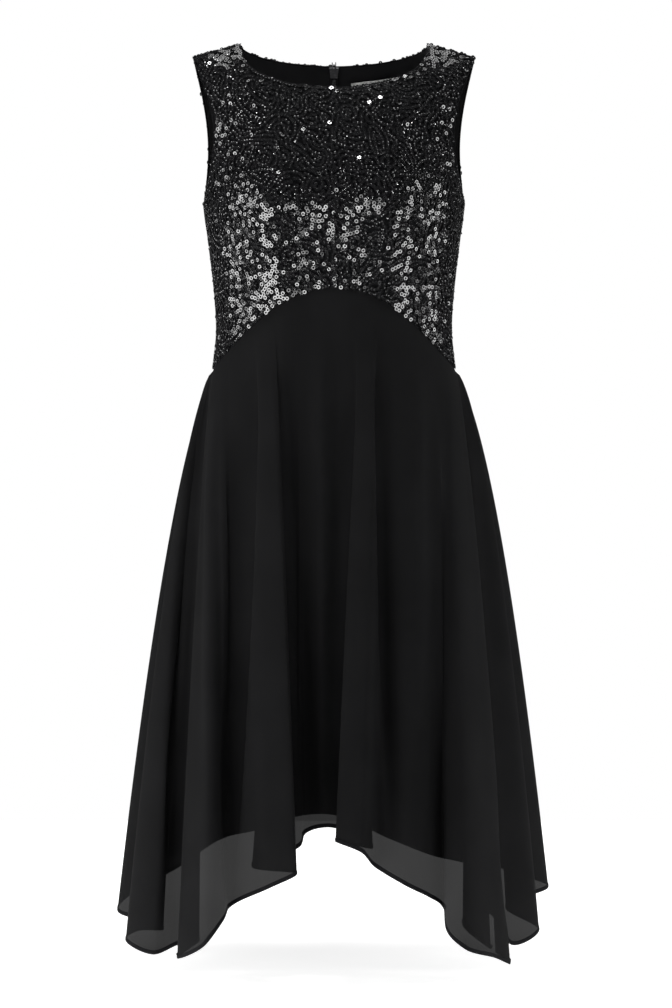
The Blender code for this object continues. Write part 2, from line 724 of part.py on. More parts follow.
def make_slider(collection, cutters, metal, frame):
    """The slider's plate inside the zip and its bail over the neck edge; the outer bar holds the pull."""
    inner = -(BODICE_WALL + LINING_WALL + 4 * SEAM_GAP)
    top, foot = PLATE_PROUD, PLATE_PROUD - PLATE_LENGTH
    outline = (
        (-PLATE_FOOT_WIDTH / 2, foot),
        (PLATE_FOOT_WIDTH / 2, foot),
        (PLATE_TOP_WIDTH / 2, top),
        (-PLATE_TOP_WIDTH / 2, top),
    )
    plate = add_object(
        "zip_slider", prism("zip_slider", outline, inner - PLATE_THICKNESS, inner), metal, collection
    )
    plate.matrix_world = frame
    middle = inner - PLATE_THICKNESS / 2
    arc_radius = (PIN_OUT - middle) / 2
    arc_centre = (PIN_OUT + middle) / 2
    arc_foot = BAIL_RISE - arc_radius / 2
    side = [(BAIL_HALF_WIDTH, foot + BAIL_SEAT, middle), (BAIL_HALF_WIDTH, arc_foot, middle)]
    for turn in range(180 - BAIL_TURN_STEP, -1, -BAIL_TURN_STEP):
        rise = arc_foot + arc_radius * BAIL_FLATNESS * sine(turn)
        side.append((BAIL_HALF_WIDTH, rise, arc_centre + arc_radius * cosine(turn)))
    side.append((BAIL_HALF_WIDTH, 0.0, PIN_OUT))
    path = side + [(-x, t, n) for x, t, n in reversed(side)]
    bail = cutter("slider_bail", wire("slider_bail", path, BAIL_WIRE), cutters, plate)
    boolean(plate, bail, "UNION")


def make_pull(collection, cutters, metal, frame):
    """The pull tab: an eye round the pin and a tab that lies down the back, turning about the pin."""
    hinge = bpy.data.objects.new("zip_pull_hinge", None)
    hinge.matrix_world = frame @ Matrix.Translation((0, 0, PIN_OUT))
    collection.objects.link(hinge)
    eye_outer = BAIL_WIRE + EYE_CLEARANCE + EYE_WALL
    pull = add_object("zip_pull", cylinder("zip_pull", eye_outer, EYE_WIDTH), metal, collection)
    pull.parent = hinge
    shoulder = -(BAIL_WIRE + EYE_CLEARANCE + EYE_WALL / 2)
    wide = -PULL_LENGTH + PULL_FOOT_WIDTH / 2
    outline = [(-PULL_NECK_WIDTH / 2, shoulder), (-PULL_FOOT_WIDTH / 2, wide)]
    for turn in range(180 + PULL_TURN_STEP, 360, PULL_TURN_STEP):
        outline.append((PULL_FOOT_WIDTH / 2 * cosine(turn), wide + PULL_FOOT_WIDTH / 2 * sine(turn)))
    outline += [(PULL_FOOT_WIDTH / 2, wide), (PULL_NECK_WIDTH / 2, shoulder)]
    tab_mesh = prism("pull_tab", outline, -PULL_THICKNESS / 2, PULL_THICKNESS / 2)
    tab = cutter("pull_tab", tab_mesh, cutters, hinge)
    tab.rotation_euler.x = math.radians(PULL_LEAN)
    boolean(pull, tab, "UNION")
    bore_mesh = cylinder("pull_bore", BAIL_WIRE + EYE_CLEARANCE, EYE_WIDTH * 2)
    boolean(pull, cutter("pull_bore", bore_mesh, cutters, hinge), "DIFFERENCE")


def main():
    for obj in list(bpy.data.objects):
        bpy.data.objects.remove(obj)
    collection = bpy.data.collections.new("evening_dress")
    cutters = bpy.data.collections.new("evening_dress_cutters")
    bpy.context.scene.collection.children.link(collection)
    bpy.context.scene.collection.children.link(cutters)

    sequinned = new_material("Sequinned mesh", (0.012, 0.012, 0.013), 0.32, 0.2)
    chiffon = new_material("Chiffon", (0.010, 0.010, 0.011), 0.75)
    lining = new_material("Lining", (0.008, 0.008, 0.009), 0.55)
    tape = new_material("Zip tape", (0.010, 0.010, 0.010), 0.80)
    metal = new_material("Painted zip metal", (0.030, 0.030, 0.032), 0.35, 0.6)
    white = new_material("Label", (0.80, 0.80, 0.78), 0.60)

    bodice_rows = make_bodice(collection, sequinned, lining)
    make_skirt(collection, chiffon)
    skirt_rows = make_skirt_lining(collection, lining)
    make_zip_tapes(collection, tape, skirt_rows, bodice_rows)
    make_label(collection, white)
    frame = slider_frame(bodice_rows)
    make_slider(collection, cutters, metal, frame)
    make_pull(collection, cutters, metal, frame)


main()
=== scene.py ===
"""The looks of the evening dress: sequins, chiffon, lining, hems, zip and label, on the dress's own form.

Metres, +Z up, the front faces -Y and the wearer's left is at +X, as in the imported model. Each cloth piece is
a single sheet on the form that its solid has, at a finer division and with the small creases added.
"""
import math
import random

import bmesh
import bpy
import numpy as np
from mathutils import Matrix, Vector
from mathutils.bvhtree import BVHTree


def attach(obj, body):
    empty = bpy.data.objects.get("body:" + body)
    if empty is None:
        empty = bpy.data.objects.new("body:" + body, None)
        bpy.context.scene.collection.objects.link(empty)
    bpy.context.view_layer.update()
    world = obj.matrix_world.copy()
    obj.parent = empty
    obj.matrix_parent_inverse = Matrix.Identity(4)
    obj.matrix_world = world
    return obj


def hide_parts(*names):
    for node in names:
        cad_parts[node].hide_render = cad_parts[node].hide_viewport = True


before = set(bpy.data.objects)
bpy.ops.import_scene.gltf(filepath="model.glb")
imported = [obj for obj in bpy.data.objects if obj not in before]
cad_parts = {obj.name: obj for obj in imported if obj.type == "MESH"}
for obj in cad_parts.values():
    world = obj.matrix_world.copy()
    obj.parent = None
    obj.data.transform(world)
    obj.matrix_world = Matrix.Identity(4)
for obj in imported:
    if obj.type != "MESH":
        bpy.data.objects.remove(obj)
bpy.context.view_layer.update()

# ---------------------------------------------------------------- sizes of the solids, metres and degrees
BODICE_WALL = 0.0015
CHIFFON_WALL = 0.0012
LINING_WALL = 0.0010
SEAM_GAP = 0.0003

NECK_HALF_WIDTH = 0.1175
NECK_POINT_Z = 0.0074
SHOULDER_TIP_Z = -0.0094
FRONT_NECK_DROP = 0.0610
BACK_NECK_DROP = 0.0219
FRONT_NECK_ROUNDNESS = 2.2
BACK_NECK_ROUNDNESS = 2.0

UNDERARM_LEVEL = -0.1925
FRONT_ARMHOLE_CUT = 28.0
BACK_ARMHOLE_CUT = 19.0
ARMHOLE_ROUNDNESS = 0.55

ARCH_TOP_Z = -0.3002
SEAM_SIDE_Z = -0.3975
SEAM_BACK_Z = -0.3895

BUST_FULLNESS = 0.017
BUST_X, BUST_Z = 0.080, -0.186
BUST_WIDTH, BUST_HEIGHT = 0.044, 0.056

FLARE_POWER = 0.60
LINING_FLARE_POWER = 0.80
LINING_HALF_WIDTH, LINING_FRONT_DEPTH, LINING_BACK_DEPTH = 0.205, 0.121, 0.130
LINING_WAVES, LINING_WAVE_DEPTH = 9, 0.004
TAPE_HALF_WIDTH = 0.0057
MEAN_REACH = 3.0
SHOULDER_SHARE, ARMHOLE_SHARE = 1 / 3, 8 / 15
STRAP_PULL = 1.3

# The torso's form. level: height at the side; lift: how much higher the section is at the centre
FORM_SECTIONS = (
    # level, lift, half_width, front_depth, back_depth
    (-0.0094, 0.0505, 0.1760, 0.0000, 0.0000),
    (-0.0325, 0.0180, 0.1745, 0.0500, 0.0580),
    (-0.0625, 0.0060, 0.1720, 0.0780, 0.0800),
    (-0.1225, 0.0000, 0.1670, 0.1040, 0.0990),
    (-0.1925, 0.0000, 0.1625, 0.1220, 0.1080),
    (-0.2425, 0.0000, 0.1560, 0.1190, 0.1040),
    (-0.3025, 0.0000, 0.1490, 0.1080, 0.0940),
    (-0.3525, 0.0000, 0.1463, 0.1030, 0.0890),
    (-0.3975, 0.0000, 0.1510, 0.1040, 0.0930),
)

# Soft vertical folds of the front bodice, running from the bust down to the arch, where they fade
BODICE_FOLDS = (
    # x_top, x_bottom, depth, width
    (-0.108, -0.066, 0.0030, 0.016),
    (-0.034, -0.028, -0.0030, 0.014),
    (0.011, 0.012, 0.0026, 0.013),
    (0.050, 0.046, -0.0028, 0.014),
    (0.114, 0.088, 0.0030, 0.016),
)
# rise: how fast they deepen below the bust; end: where they have faded; both in shares of that run
BODICE_FOLD_RISE, BODICE_FOLD_END = 1.6, 1.9

# The skirt's folds, once round from the side seam at the viewer's left: where each hangs from and where its
# hem is. Left and right in the names are the viewer's.
# seam_angle: degrees round the seam, 0 at the centre front and 180 at the centre back
# growth: how the fold opens below the seam, a low value early and a high one late
HEM_FOLDS = (
    # name, seam_angle, x, y, z, growth
    ("left corner", -90.0, -0.190, -0.120, -1.112, 0.9),
    ("corner ridge", -79.0, -0.153, -0.190, -1.084, 0.9),
    ("ridge side", -70.0, -0.131, -0.176, -1.057, 0.9),
    ("left valley", -64.0, -0.124, -0.152, -1.045, 0.9),
    ("left front", -46.0, -0.078, -0.196, -1.016, 0.8),
    ("left lap edge", -35.0, -0.045, -0.207, -0.999, 0.75),
    ("left lap turn", -31.0, -0.045, -0.194, -0.998, 0.75),
    ("left lap inside", -25.0, -0.098, -0.150, -0.997, 1.30),
    ("left under lap", -20.0, -0.040, -0.147, -0.973, 0.8),
    ("recess left", -15.0, -0.034, -0.137, -0.959, 0.9),
    ("recess", -2.0, -0.005, -0.137, -0.951, 0.9),
    ("right lap inside", 8.0, 0.046, -0.150, -0.975, 0.9),
    ("right lap edge", 15.0, 0.001, -0.190, -0.961, 0.9),
    ("right front", 23.0, 0.033, -0.213, -0.971, 0.8),
    ("right dip", 31.0, 0.050, -0.186, -0.993, 0.9),
    ("right panel", 43.0, 0.084, -0.196, -1.012, 0.9),
    ("right panel side", 52.0, 0.114, -0.180, -1.029, 0.9),
    ("right valley", 58.0, 0.130, -0.158, -1.044, 0.9),
    ("right ridge side", 64.0, 0.134, -0.180, -1.070, 0.9),
    ("right ridge", 72.0, 0.155, -0.206, -1.086, 0.9),
    ("right ridge end", 83.0, 0.192, -0.168, -1.103, 0.9),
    ("right corner", 89.0, 0.213, -0.130, -1.117, 0.9),
    ("right inner lap", 91.5, 0.156, -0.124, -1.072, 1.0),
    ("right inner", 93.5, 0.188, -0.096, -1.062, 0.80),
    ("right side front", 95.0, 0.217, -0.084, -1.103, 0.72),
    ("right side edge", 98.0, 0.254, -0.047, -1.092, 0.50),
    ("right side inside", 101.0, 0.216, 0.012, -1.074, 0.90),
    ("right outer front", 104.0, 0.246, 0.030, -1.063, 0.65),
    ("right outer edge", 108.0, 0.273, 0.066, -1.056, 0.52),
    ("right back valley", 118.0, 0.216, 0.106, -1.040, 1.00),
    ("right back ridge", 130.0, 0.172, 0.188, -1.020, 1.0),
    ("right back dip", 142.0, 0.118, 0.150, -1.005, 1.0),
    ("right inner ridge", 158.0, 0.066, 0.206, -0.985, 1.0),
    ("centre back", 180.0, 0.000, 0.168, -0.972, 1.0),
    ("left inner ridge", 200.0, -0.050, 0.207, -0.982, 1.0),
    ("left back dip", 214.0, -0.094, 0.155, -0.996, 1.0),
    ("left back ridge", 227.0, -0.148, 0.195, -1.015, 1.0),
    ("left back valley", 240.0, -0.202, 0.125, -1.042, 1.00),
    ("left outer far", 248.0, -0.262, 0.100, -1.073, 0.60),
    ("left outer edge", 252.0, -0.275, 0.058, -1.087, 0.60),
    ("left outer front", 255.0, -0.242, 0.030, -1.094, 0.68),
    ("left side inside", 257.5, -0.214, 0.002, -1.100, 0.90),
    ("left side far", 260.0, -0.244, -0.022, -1.097, 0.70),
    ("left side edge", 262.0, -0.257, -0.058, -1.103, 0.60),
    ("left side front", 264.5, -0.219, -0.100, -1.112, 0.70),
    ("left inner", 266.5, -0.190, -0.078, -1.104, 0.80),
    ("left inner lap", 268.3, -0.164, -0.116, -1.093, 0.90),
)

# Hem of the skirt lining round the figure
LINING_HEM = (
    # seam_angle, z
    (-90.0, -1.012),
    (-56.0, -0.990),
    (-29.0, -0.958),
    (-2.0, -0.938),
    (20.0, -0.970),
    (40.0, -0.996),
    (90.0, -1.020),
    (135.0, -0.985),
    (180.0, -0.950),
    (225.0, -0.980),
    (270.0, -1.012),
)

# ---------------------------------------------------------------- sizes of what is added here
# Creases of the chiffon between the hem's folds, laid along each level of the skirt.
# seam_angle_top and _hem: where it hangs from and where it would meet the hem
# starts, ends: shares of the drop; a negative depth is a trough
CREASES = (
    # name, seam_angle_top, seam_angle_hem, starts, ends, depth, left_width, right_width
    ("left inner dark fold", 264.0, 266.0, 0.03, 0.95, -0.0180, 0.0080, 0.0080),
    ("left ridge", -80.0, -76.0, 0.05, 0.80, 0.0060, 0.0160, 0.0160),
    ("left long fold", -44.0, -64.0, 0.02, 0.98, -0.0150, 0.0340, 0.0070),
    ("left filled valley", -66.0, -64.0, 0.10, 0.85, 0.0080, 0.0120, 0.0120),
    ("under lap hollow", -21.0, -20.0, 0.10, 0.95, -0.0070, 0.0100, 0.0100),
    ("recess swell", -6.0, -5.0, 0.05, 1.20, 0.0120, 0.0160, 0.0140),
    ("right thin fold", 22.0, 38.0, 0.03, 0.98, -0.0130, 0.0045, 0.0150),
    ("right swell", 46.0, 48.0, 0.05, 0.80, 0.0050, 0.0150, 0.0150),
    ("right filled valley", 58.0, 58.0, 0.10, 0.85, 0.0080, 0.0120, 0.0120),
    ("right side fold", 94.0, 88.0, 0.05, 0.95, -0.0130, 0.0080, 0.0100),
    ("right back fold", 124.0, 126.0, 0.04, 0.90, -0.0100, 0.0080, 0.0160),
    ("right back swell", 146.0, 150.0, 0.06, 0.80, 0.0080, 0.0140, 0.0140),
    ("centre back fold", 171.0, 168.0, 0.05, 0.90, -0.0090, 0.0160, 0.0060),
    ("left back swell", 206.0, 208.0, 0.05, 0.85, 0.0070, 0.0160, 0.0120),
    ("left back fold", 222.0, 219.0, 0.03, 0.95, -0.0110, 0.0070, 0.0150),
    ("left outer fold", 243.0, 240.0, 0.08, 0.80, 0.0070, 0.0120, 0.0140),
)
CREASE_FADE_IN, CREASE_FADE_OUT = 0.16, 0.25

SEQUIN_RADIUS, SEQUIN_CUP_RADIUS, SEQUIN_HOLE, SEQUIN_CUP = 0.0025, 0.0014, 0.0006, 0.0004
SEQUIN_SIDES = 8
SEQUIN_STEP, SEQUIN_LINE_GAP = 0.0041, 0.0042
SEQUIN_LEAN, SEQUIN_SPREAD = 2.5, 2.4
SEQUIN_LOOSE_SHARE, SEQUIN_LOOSE_SPREAD = 0.25, 14.0
SEQUIN_LIFT, SEQUIN_LIFT_SPREAD = 0.0009, 0.00015
SEQUIN_SEEDS = 130
THREAD_RADIUS = 0.00016

HEM_WIDTH, HEM_THICKNESS = 0.0050, 0.0013
EDGE_ROLL_RADIUS = 0.0009
LINING_HEM_WIDTH, LINING_HEM_THICKNESS = 0.012, 0.0012

STITCH_LENGTH, STITCH_PITCH, STITCH_RADIUS = 0.0022, 0.0031, 0.00024
ARCH_STITCH_SLANT = 18.0

# The coil's teeth: their pitch and form, how far their row is from the middle, and where the rows end
TOOTH_PITCH, TOOTH_LENGTH, TOOTH_HEIGHT, TOOTH_WIDTH = 0.0015, 0.0030, 0.00077, 0.0009
TOOTH_X, TAPE_STITCH_X = 0.0011, 0.0041
ZIP_TOP_Z, ZIP_FOOT_Z = -0.0310, -0.5780
TAPE_FOOT_Z, TAPE_TOP_Z, TAPE_INSET = -0.5855, -0.0160, 0.00005
STOP_LENGTH, STOP_HALF_WIDTH, STOP_HALF_HEIGHT, STOP_LIFT = 0.0050, 0.0026, 0.0011, 0.0006
METAL_BEVEL, METAL_BEVEL_ANGLE = 0.00022, 50.0

LABEL_LEFT_X, LABEL_WIDTH, LABEL_HEIGHT = 0.0215, 0.058, 0.030
LABEL_TOP_Z, LABEL_RISE, LABEL_WALL = -0.0345, 0.0060, 0.0010
LABEL_INSET, LABEL_FOLD_RADIUS, LABEL_FOLD_PLACE, LABEL_STITCH_SHIFT = 0.0004, 0.0005, 0.0010, 0.0022

# The camera: level, in front of the dress, framed lower than its own height
CAMERA_DISTANCE, CAMERA_HEIGHT = 3.8, -0.42
VIEW_HEIGHT = 1.26
VIEW_SHIFT_X, VIEW_SHIFT_Y = 0.002, -0.117

FLOOR_Z = -1.135

# The lights, each aimed at the bodice. azimuth: degrees from the camera's side, the viewer's right positive;
# spread: the angle that the light leaves within, narrow where a grid is fitted
LIT_POINT = (0.0, -0.1, -0.24)
LIGHTS = (
    # name, azimuth, elevation, distance, width, height, power, spread
    ("left softbox", -50.0, -17.0, 2.0, 1.30, 0.55, 27.0, 180.0),
    ("tall left strip", -80.0, 2.0, 2.0, 0.40, 0.90, 8.5, 180.0),
    ("right softbox", 55.0, -17.0, 2.0, 0.80, 0.50, 11.5, 180.0),
    ("tall right strip", 82.0, 2.0, 2.0, 0.30, 0.90, 6.5, 180.0),
    ("front softbox with a grid", 1.0, -9.0, 2.5, 0.90, 0.95, 0.95, 30.0),
    ("left back strip", -97.0, -7.0, 2.1, 0.16, 1.0, 5.0, 180.0),
    ("right back strip", 99.0, -7.0, 2.1, 0.16, 1.0, 5.0, 180.0),
    ("high lamp", 10.0, 77.0, 2.0, 0.30, 0.30, 17.0, 180.0),
)


# ---------------------------------------------------------------- curves through the tables
def hermite(p0, p1, m0, m1, span, f):
    """A cubic from p0 to p1 with slopes m0 and m1, at the fraction f of a span this long."""
    f2, f3 = f * f, f * f * f
    return (
        p0 * (2 * f3 - 3 * f2 + 1)
        + m0 * (span * (f3 - 2 * f2 + f))
        + p1 * (3 * f2 - 2 * f3)
        + m1 * (span * (f3 - f2))
    )


def smooth_column(table, column):
    """The smooth curve of one column of a table against its first column, as a function of arrays."""
    rows = sorted(table)
    keys = np.array([row[0] for row in rows])
    values = np.array([row[column] for row in rows])
    slopes = np.empty_like(values)
    slopes[1:-1] = (values[2:] - values[:-2]) / (keys[2:] - keys[:-2])
    slopes[0] = (values[1] - values[0]) / (keys[1] - keys[0])
    slopes[-1] = (values[-1] - values[-2]) / (keys[-1] - keys[-2])

    def value(key):
        key = np.clip(key, keys[0], keys[-1])
        i = np.clip(np.searchsorted(keys, key, side="right") - 1, 0, len(keys) - 2)
        span = keys[i + 1] - keys[i]
        return hermite(values[i], values[i + 1], slopes[i], slopes[i + 1], span, (key - keys[i]) / span)

    return value


form_lift = smooth_column(FORM_SECTIONS, 1)
form_half_width = smooth_column(FORM_SECTIONS, 2)
form_front_depth = smooth_column(FORM_SECTIONS, 3)
form_back_depth = smooth_column(FORM_SECTIONS, 4)
lining_hem_z = smooth_column(LINING_HEM, 1)


def sine(degrees):
    return np.sin(np.radians(degrees))


def cosine(degrees):
    return np.cos(np.radians(degrees))


def bump(x, width):
    return np.exp(-((x / width) ** 2))


def unit(vectors):
    return vectors / np.linalg.norm(vectors, axis=-1, keepdims=True)


# ---------------------------------------------------------------- the torso's form
def front_fullness(x, z):
    """How far the bust and the soft folds under it stand out from the plain form."""
    fullness = BUST_FULLNESS * bump(np.abs(x) - BUST_X, BUST_WIDTH) * bump(z - BUST_Z, BUST_HEIGHT)
    along = (BUST_Z - z) / (BUST_Z - ARCH_TOP_Z)
    fade = np.clip(along * BODICE_FOLD_RISE, 0, 1) * np.clip(BODICE_FOLD_END - along, 0, 1)
    for x_top, x_bottom, depth, width in BODICE_FOLDS:
        middle = x_top + (x_bottom - x_top) * along
        fullness = fullness + depth * fade * bump(x - middle, width)
    return fullness


def form_point(angle, level):
    """Points of the bodice's outer face; angle is 0 at the centre front, 90 at +X and 180 at the back."""
    front = cosine(angle) >= 0
    x = form_half_width(level) * sine(angle)
    z = level + form_lift(level) * (1 - np.abs(sine(angle)))
    depth = np.where(front, form_front_depth(level), form_back_depth(level))
    y = -depth * cosine(angle) - np.where(front, front_fullness(x, z) * cosine(angle), 0)
    return np.stack([x, y, z], -1)


def form_normal(angle, level):
    step, rise = 0.5, 0.001
    across = form_point(angle + step, level) - form_point(angle - step, level)
    upwards = form_point(angle, level + rise) - form_point(angle, level - rise)
    return unit(np.cross(across, upwards))


def arch_level(angle):
    """The seam between bodice and skirt: an arch under the bust, nearly level round the back."""
    front = ARCH_TOP_Z + (SEAM_SIDE_Z - ARCH_TOP_Z) * sine(angle) ** 2
    back = SEAM_SIDE_Z + (SEAM_BACK_Z - SEAM_SIDE_Z) * cosine(angle) ** 2
    return np.where(cosine(angle) >= 0, front, back)


def level_at(x, z):
    """The level whose section passes the height z at the distance x from the centre."""
    low = np.full_like(x, UNDERARM_LEVEL)
    high = np.full_like(x, SHOULDER_TIP_Z)
    for _ in range(40):
        middle = (low + high) / 2
        share = np.minimum(1, np.abs(x) / form_half_width(middle))
        below = middle + form_lift(middle) * (1 - share) < z
        low = np.where(below, middle, low)
        high = np.where(below, high, middle)
    return (low + high) / 2


# ---------------------------------------------------------------- outlines of the bodice halves
def top_edge(u, front):
    """(angle from the centre, level) of the neckline, then of the shoulder seam, u from 0 to 1."""
    neck_share = 1 - SHOULDER_SHARE
    drop, roundness = (
        (FRONT_NECK_DROP, FRONT_NECK_ROUNDNESS) if front else (BACK_NECK_DROP, BACK_NECK_ROUNDNESS)
    )
    turn = 90 * np.minimum(1, u / neck_share)
    along = np.clip((u - neck_share) / SHOULDER_SHARE, 0, 1)
    tip_half_width = form_half_width(SHOULDER_TIP_Z)
    x = NECK_HALF_WIDTH * sine(turn) ** (2 / roundness) + (tip_half_width - NECK_HALF_WIDTH) * along
    neck_z = NECK_POINT_Z - drop * np.maximum(cosine(turn), 0) ** (2 / roundness)
    z = np.where(along > 0, NECK_POINT_Z + (SHOULDER_TIP_Z - NECK_POINT_Z) * along, neck_z)
    level = level_at(x, z)
    return np.stack([np.degrees(np.arcsin(np.minimum(1, x / form_half_width(level)))), level], -1)


def side_edge(v, front):
    """(angle from the centre, level) of the side seam, then of the armhole up to the shoulder tip."""
    seam_share = 1 - ARMHOLE_SHARE
    turn = 180 * np.clip((v - seam_share) / ARMHOLE_SHARE, 0, 1)
    height = (1 - cosine(turn)) / 2
    cut = FRONT_ARMHOLE_CUT if front else BACK_ARMHOLE_CUT
    hole_level = UNDERARM_LEVEL + (SHOULDER_TIP_Z - UNDERARM_LEVEL) * height
    hole_angle = 90.0 - cut * np.maximum(sine(180 * height), 0) ** ARMHOLE_ROUNDNESS
    seam_level = SEAM_SIDE_Z + (UNDERARM_LEVEL - SEAM_SIDE_Z) * v / seam_share
    on_seam = v <= seam_share
    return np.stack([np.where(on_seam, 90.0, hole_angle), np.where(on_seam, seam_level, hole_level)], -1)


def bodice_place(u, v, front):
    """(angle from the centre, level) in half a panel, its strap drawn in to the armhole; v is 0 low down."""
    foot_angle = 90 * u
    foot = np.stack([foot_angle, arch_level(foot_angle if front else 180 - foot_angle)], -1)
    top = top_edge(u, front)
    side = side_edge(v, front)
    corner_side, corner_tip = side_edge(np.zeros(1), front), side_edge(np.ones(1), front)
    u, v = u[..., None], v[..., None]
    pull = side - corner_side * (1 - v) - corner_tip * v
    across_strap = np.maximum(0.0, 1 - (1 - u) / SHOULDER_SHARE)
    return foot * (1 - v) + top * v + pull * across_strap**STRAP_PULL


def bodice_surface(u, v, front, depth=0.0):
    """Points and outward normals of a bodice panel, this deep under its outer face.

    u runs from -1 at the wearer's right edge to 1 at the left one, and is 0 at the centre.
    """
    place = bodice_place(np.abs(u), v, front)
    side = np.where(u < 0, -1, 1)
    angle = side * place[..., 0] if front else side * (180 - place[..., 0])
    points, normals = form_point(angle, place[..., 1]), form_normal(angle, place[..., 1])
    return points - normals * depth, normals


# ---------------------------------------------------------------- the skirt
def hem_line(steps):
    """Arrays of seam angle, hem point and growth once round, with this many steps between fold rows."""
    angles = np.array([row[1] for row in HEM_FOLDS])
    points = np.array([row[2:5] for row in HEM_FOLDS])
    growths = np.array([row[5] for row in HEM_FOLDS])
    chords = np.sqrt(np.linalg.norm(np.roll(points, -1, 0) - points, axis=1))
    before, after = np.roll(chords, 1)[:, None], chords[:, None]
    ahead, behind = np.roll(points, -1, 0), np.roll(points, 1, 0)
    slopes = ((ahead - points) * (before / after) + (points - behind) * (after / before)) / (before + after)
    line_angles, line_points, line_growths = [], [], []
    for k in range(len(points)):
        n = (k + 1) % len(points)
        ahead_angle = angles[n] + (360 if n == 0 else 0)
        for j in range(steps):
            f = j / steps
            line_points.append(hermite(points[k], points[n], slopes[k], slopes[n], chords[k], f))
            line_angles.append(angles[k] + (ahead_angle - angles[k]) * f)
            line_growths.append(growths[k] + (growths[n] - growths[k]) * f)
    return np.array(line_angles), np.array(line_points), np.array(line_growths)


def hem_means(points, steps):
    """The hem without its folds: each point's mean with its neighbours, nearer ones counting more."""
    reach = int(2 * MEAN_REACH * steps)
    offsets = np.arange(-reach, reach + 1)
    weights = bump(offsets, MEAN_REACH * steps)
    means = np.zeros_like(points)
    for offset, weight in zip(offsets, weights / weights.sum()):
        means += np.roll(points, -offset, 0) * weight
    return means


def ring_normals(points):
    """Outward normals of a closed ring of points, indexed by column and then by row from the seam down."""
    across = np.roll(points, -1, 0) - np.roll(points, 1, 0)
    upwards = np.empty_like(points)
    upwards[:, 1:-1] = points[:, :-2] - points[:, 2:]
    upwards[:, 0] = points[:, 0] - points[:, 1]
    upwards[:, -1] = points[:, -2] - points[:, -1]
    return unit(np.cross(across, upwards))


def skirt_ring(steps, rows):
    """Seam angles, points and normals of the outer skirt, at the middle of its wall."""
    angles, hem, growth = hem_line(steps)
    mean = hem_means(hem, steps)
    top = form_point(angles, arch_level(angles))
    top[:, 2] -= 2 * SEAM_GAP
    t = np.linspace(0, 1, rows + 1)[None, :, None]
    top, mean, hem = top[:, None], mean[:, None], hem[:, None]
    points = top + (mean - top) * t**FLARE_POWER + (hem - mean) * t ** growth[:, None, None]
    points[..., 2] = (top + (hem - top) * t)[..., 2]
    normals = ring_normals(points)
    points = points - normals * (CHIFFON_WALL / 2)
    reach = np.linalg.norm(np.roll(points, -1, 0) - points, axis=-1)
    round_length = reach.sum(0)
    place = np.concatenate([np.zeros((1, rows + 1)), np.cumsum(reach, 0)[:-1]])
    along = t[0, :, 0]
    push = np.zeros_like(place)
    for _, angle_top, angle_hem, starts, ends, depth, left_width, right_width in CREASES:
        column = np.interp(angle_top + (angle_hem - angle_top) * along, angles, np.arange(len(angles)))
        low = np.clip(column.astype(int), 0, len(angles) - 2)
        levels = np.arange(rows + 1)
        middle = place[low, levels] + (column - low) * (place[low + 1, levels] - place[low, levels])
        away = (place - middle + round_length / 2) % round_length - round_length / 2
        fade = np.clip((along - starts) / CREASE_FADE_IN, 0, 1)
        fade = fade * np.clip((ends - along) / CREASE_FADE_OUT, 0, 1)
        push += depth * fade * bump(away, np.where(away < 0, left_width, right_width))
    points = points + normals * push[..., None]
    return angles, points, ring_normals(points)


def lining_ring(columns, rows):
    """Seam angles, points and normals of the skirt's lining, at the middle of its wall."""
    angles = -90 + 360 * np.arange(columns) / columns
    level = arch_level(angles)
    top = form_point(angles, level) - form_normal(angles, level) * (BODICE_WALL + 2 * SEAM_GAP)
    top[:, 2] -= 2 * SEAM_GAP
    depth = np.where(cosine(angles) >= 0, LINING_FRONT_DEPTH, LINING_BACK_DEPTH)
    t = np.linspace(0, 1, rows + 1)[None, :]
    wave = 1 + LINING_WAVE_DEPTH / LINING_HALF_WIDTH * cosine(LINING_WAVES * angles)[:, None] * t
    hem_x = LINING_HALF_WIDTH * sine(angles)[:, None] * wave
    hem_y = -(depth * cosine(angles))[:, None] * wave
    hem_z = np.broadcast_to(lining_hem_z(angles)[:, None], wave.shape)
    hem = np.stack([hem_x, hem_y, hem_z], -1)
    top, t = top[:, None], t[..., None]
    points = top + (hem - top) * t**LINING_FLARE_POWER
    points[..., 2] = (top + (hem - top) * t)[..., 2]
    normals = ring_normals(points)
    return angles, points - normals * (LINING_WALL / 2), normals


# ---------------------------------------------------------------- making meshes
def add_mesh(name, points, faces, material, smooth=True):
    """A piece from an array of points and an array of faces, each with the same number of corners."""
    points, faces = np.asarray(points, np.float32), np.asarray(faces, np.int32)
    corners = faces.shape[1]
    mesh = bpy.data.meshes.new(name)
    mesh.vertices.add(len(points))
    mesh.vertices.foreach_set("co", points.ravel())
    mesh.loops.add(faces.size)
    mesh.loops.foreach_set("vertex_index", faces.ravel())
    mesh.polygons.add(len(faces))
    mesh.polygons.foreach_set("loop_start", np.arange(0, faces.size, corners, dtype=np.int32))
    mesh.polygons.foreach_set("use_smooth", np.full(len(faces), smooth))
    mesh.update(calc_edges=True)
    mesh.validate()
    mesh.materials.append(material)
    piece = bpy.data.objects.new(name, mesh)
    bpy.context.scene.collection.objects.link(piece)
    return piece


def grid_faces(columns, rows, wrapped=False):
    """Faces of a grid of points listed by column and then by row; wrapped joins its last row to its first."""
    i, j = np.meshgrid(np.arange(columns - 1), np.arange(rows - (0 if wrapped else 1)), indexing="ij")
    here, above = i * rows + j, i * rows + (j + 1) % rows
    return np.stack([here, above, above + rows, here + rows], -1).reshape(-1, 4)


def add_sheet(name, grid, material):
    """A single sheet from a grid of points, by column and then by row."""
    columns, rows = grid.shape[:2]
    return add_mesh(name, grid.reshape(-1, 3), grid_faces(columns, rows), material)


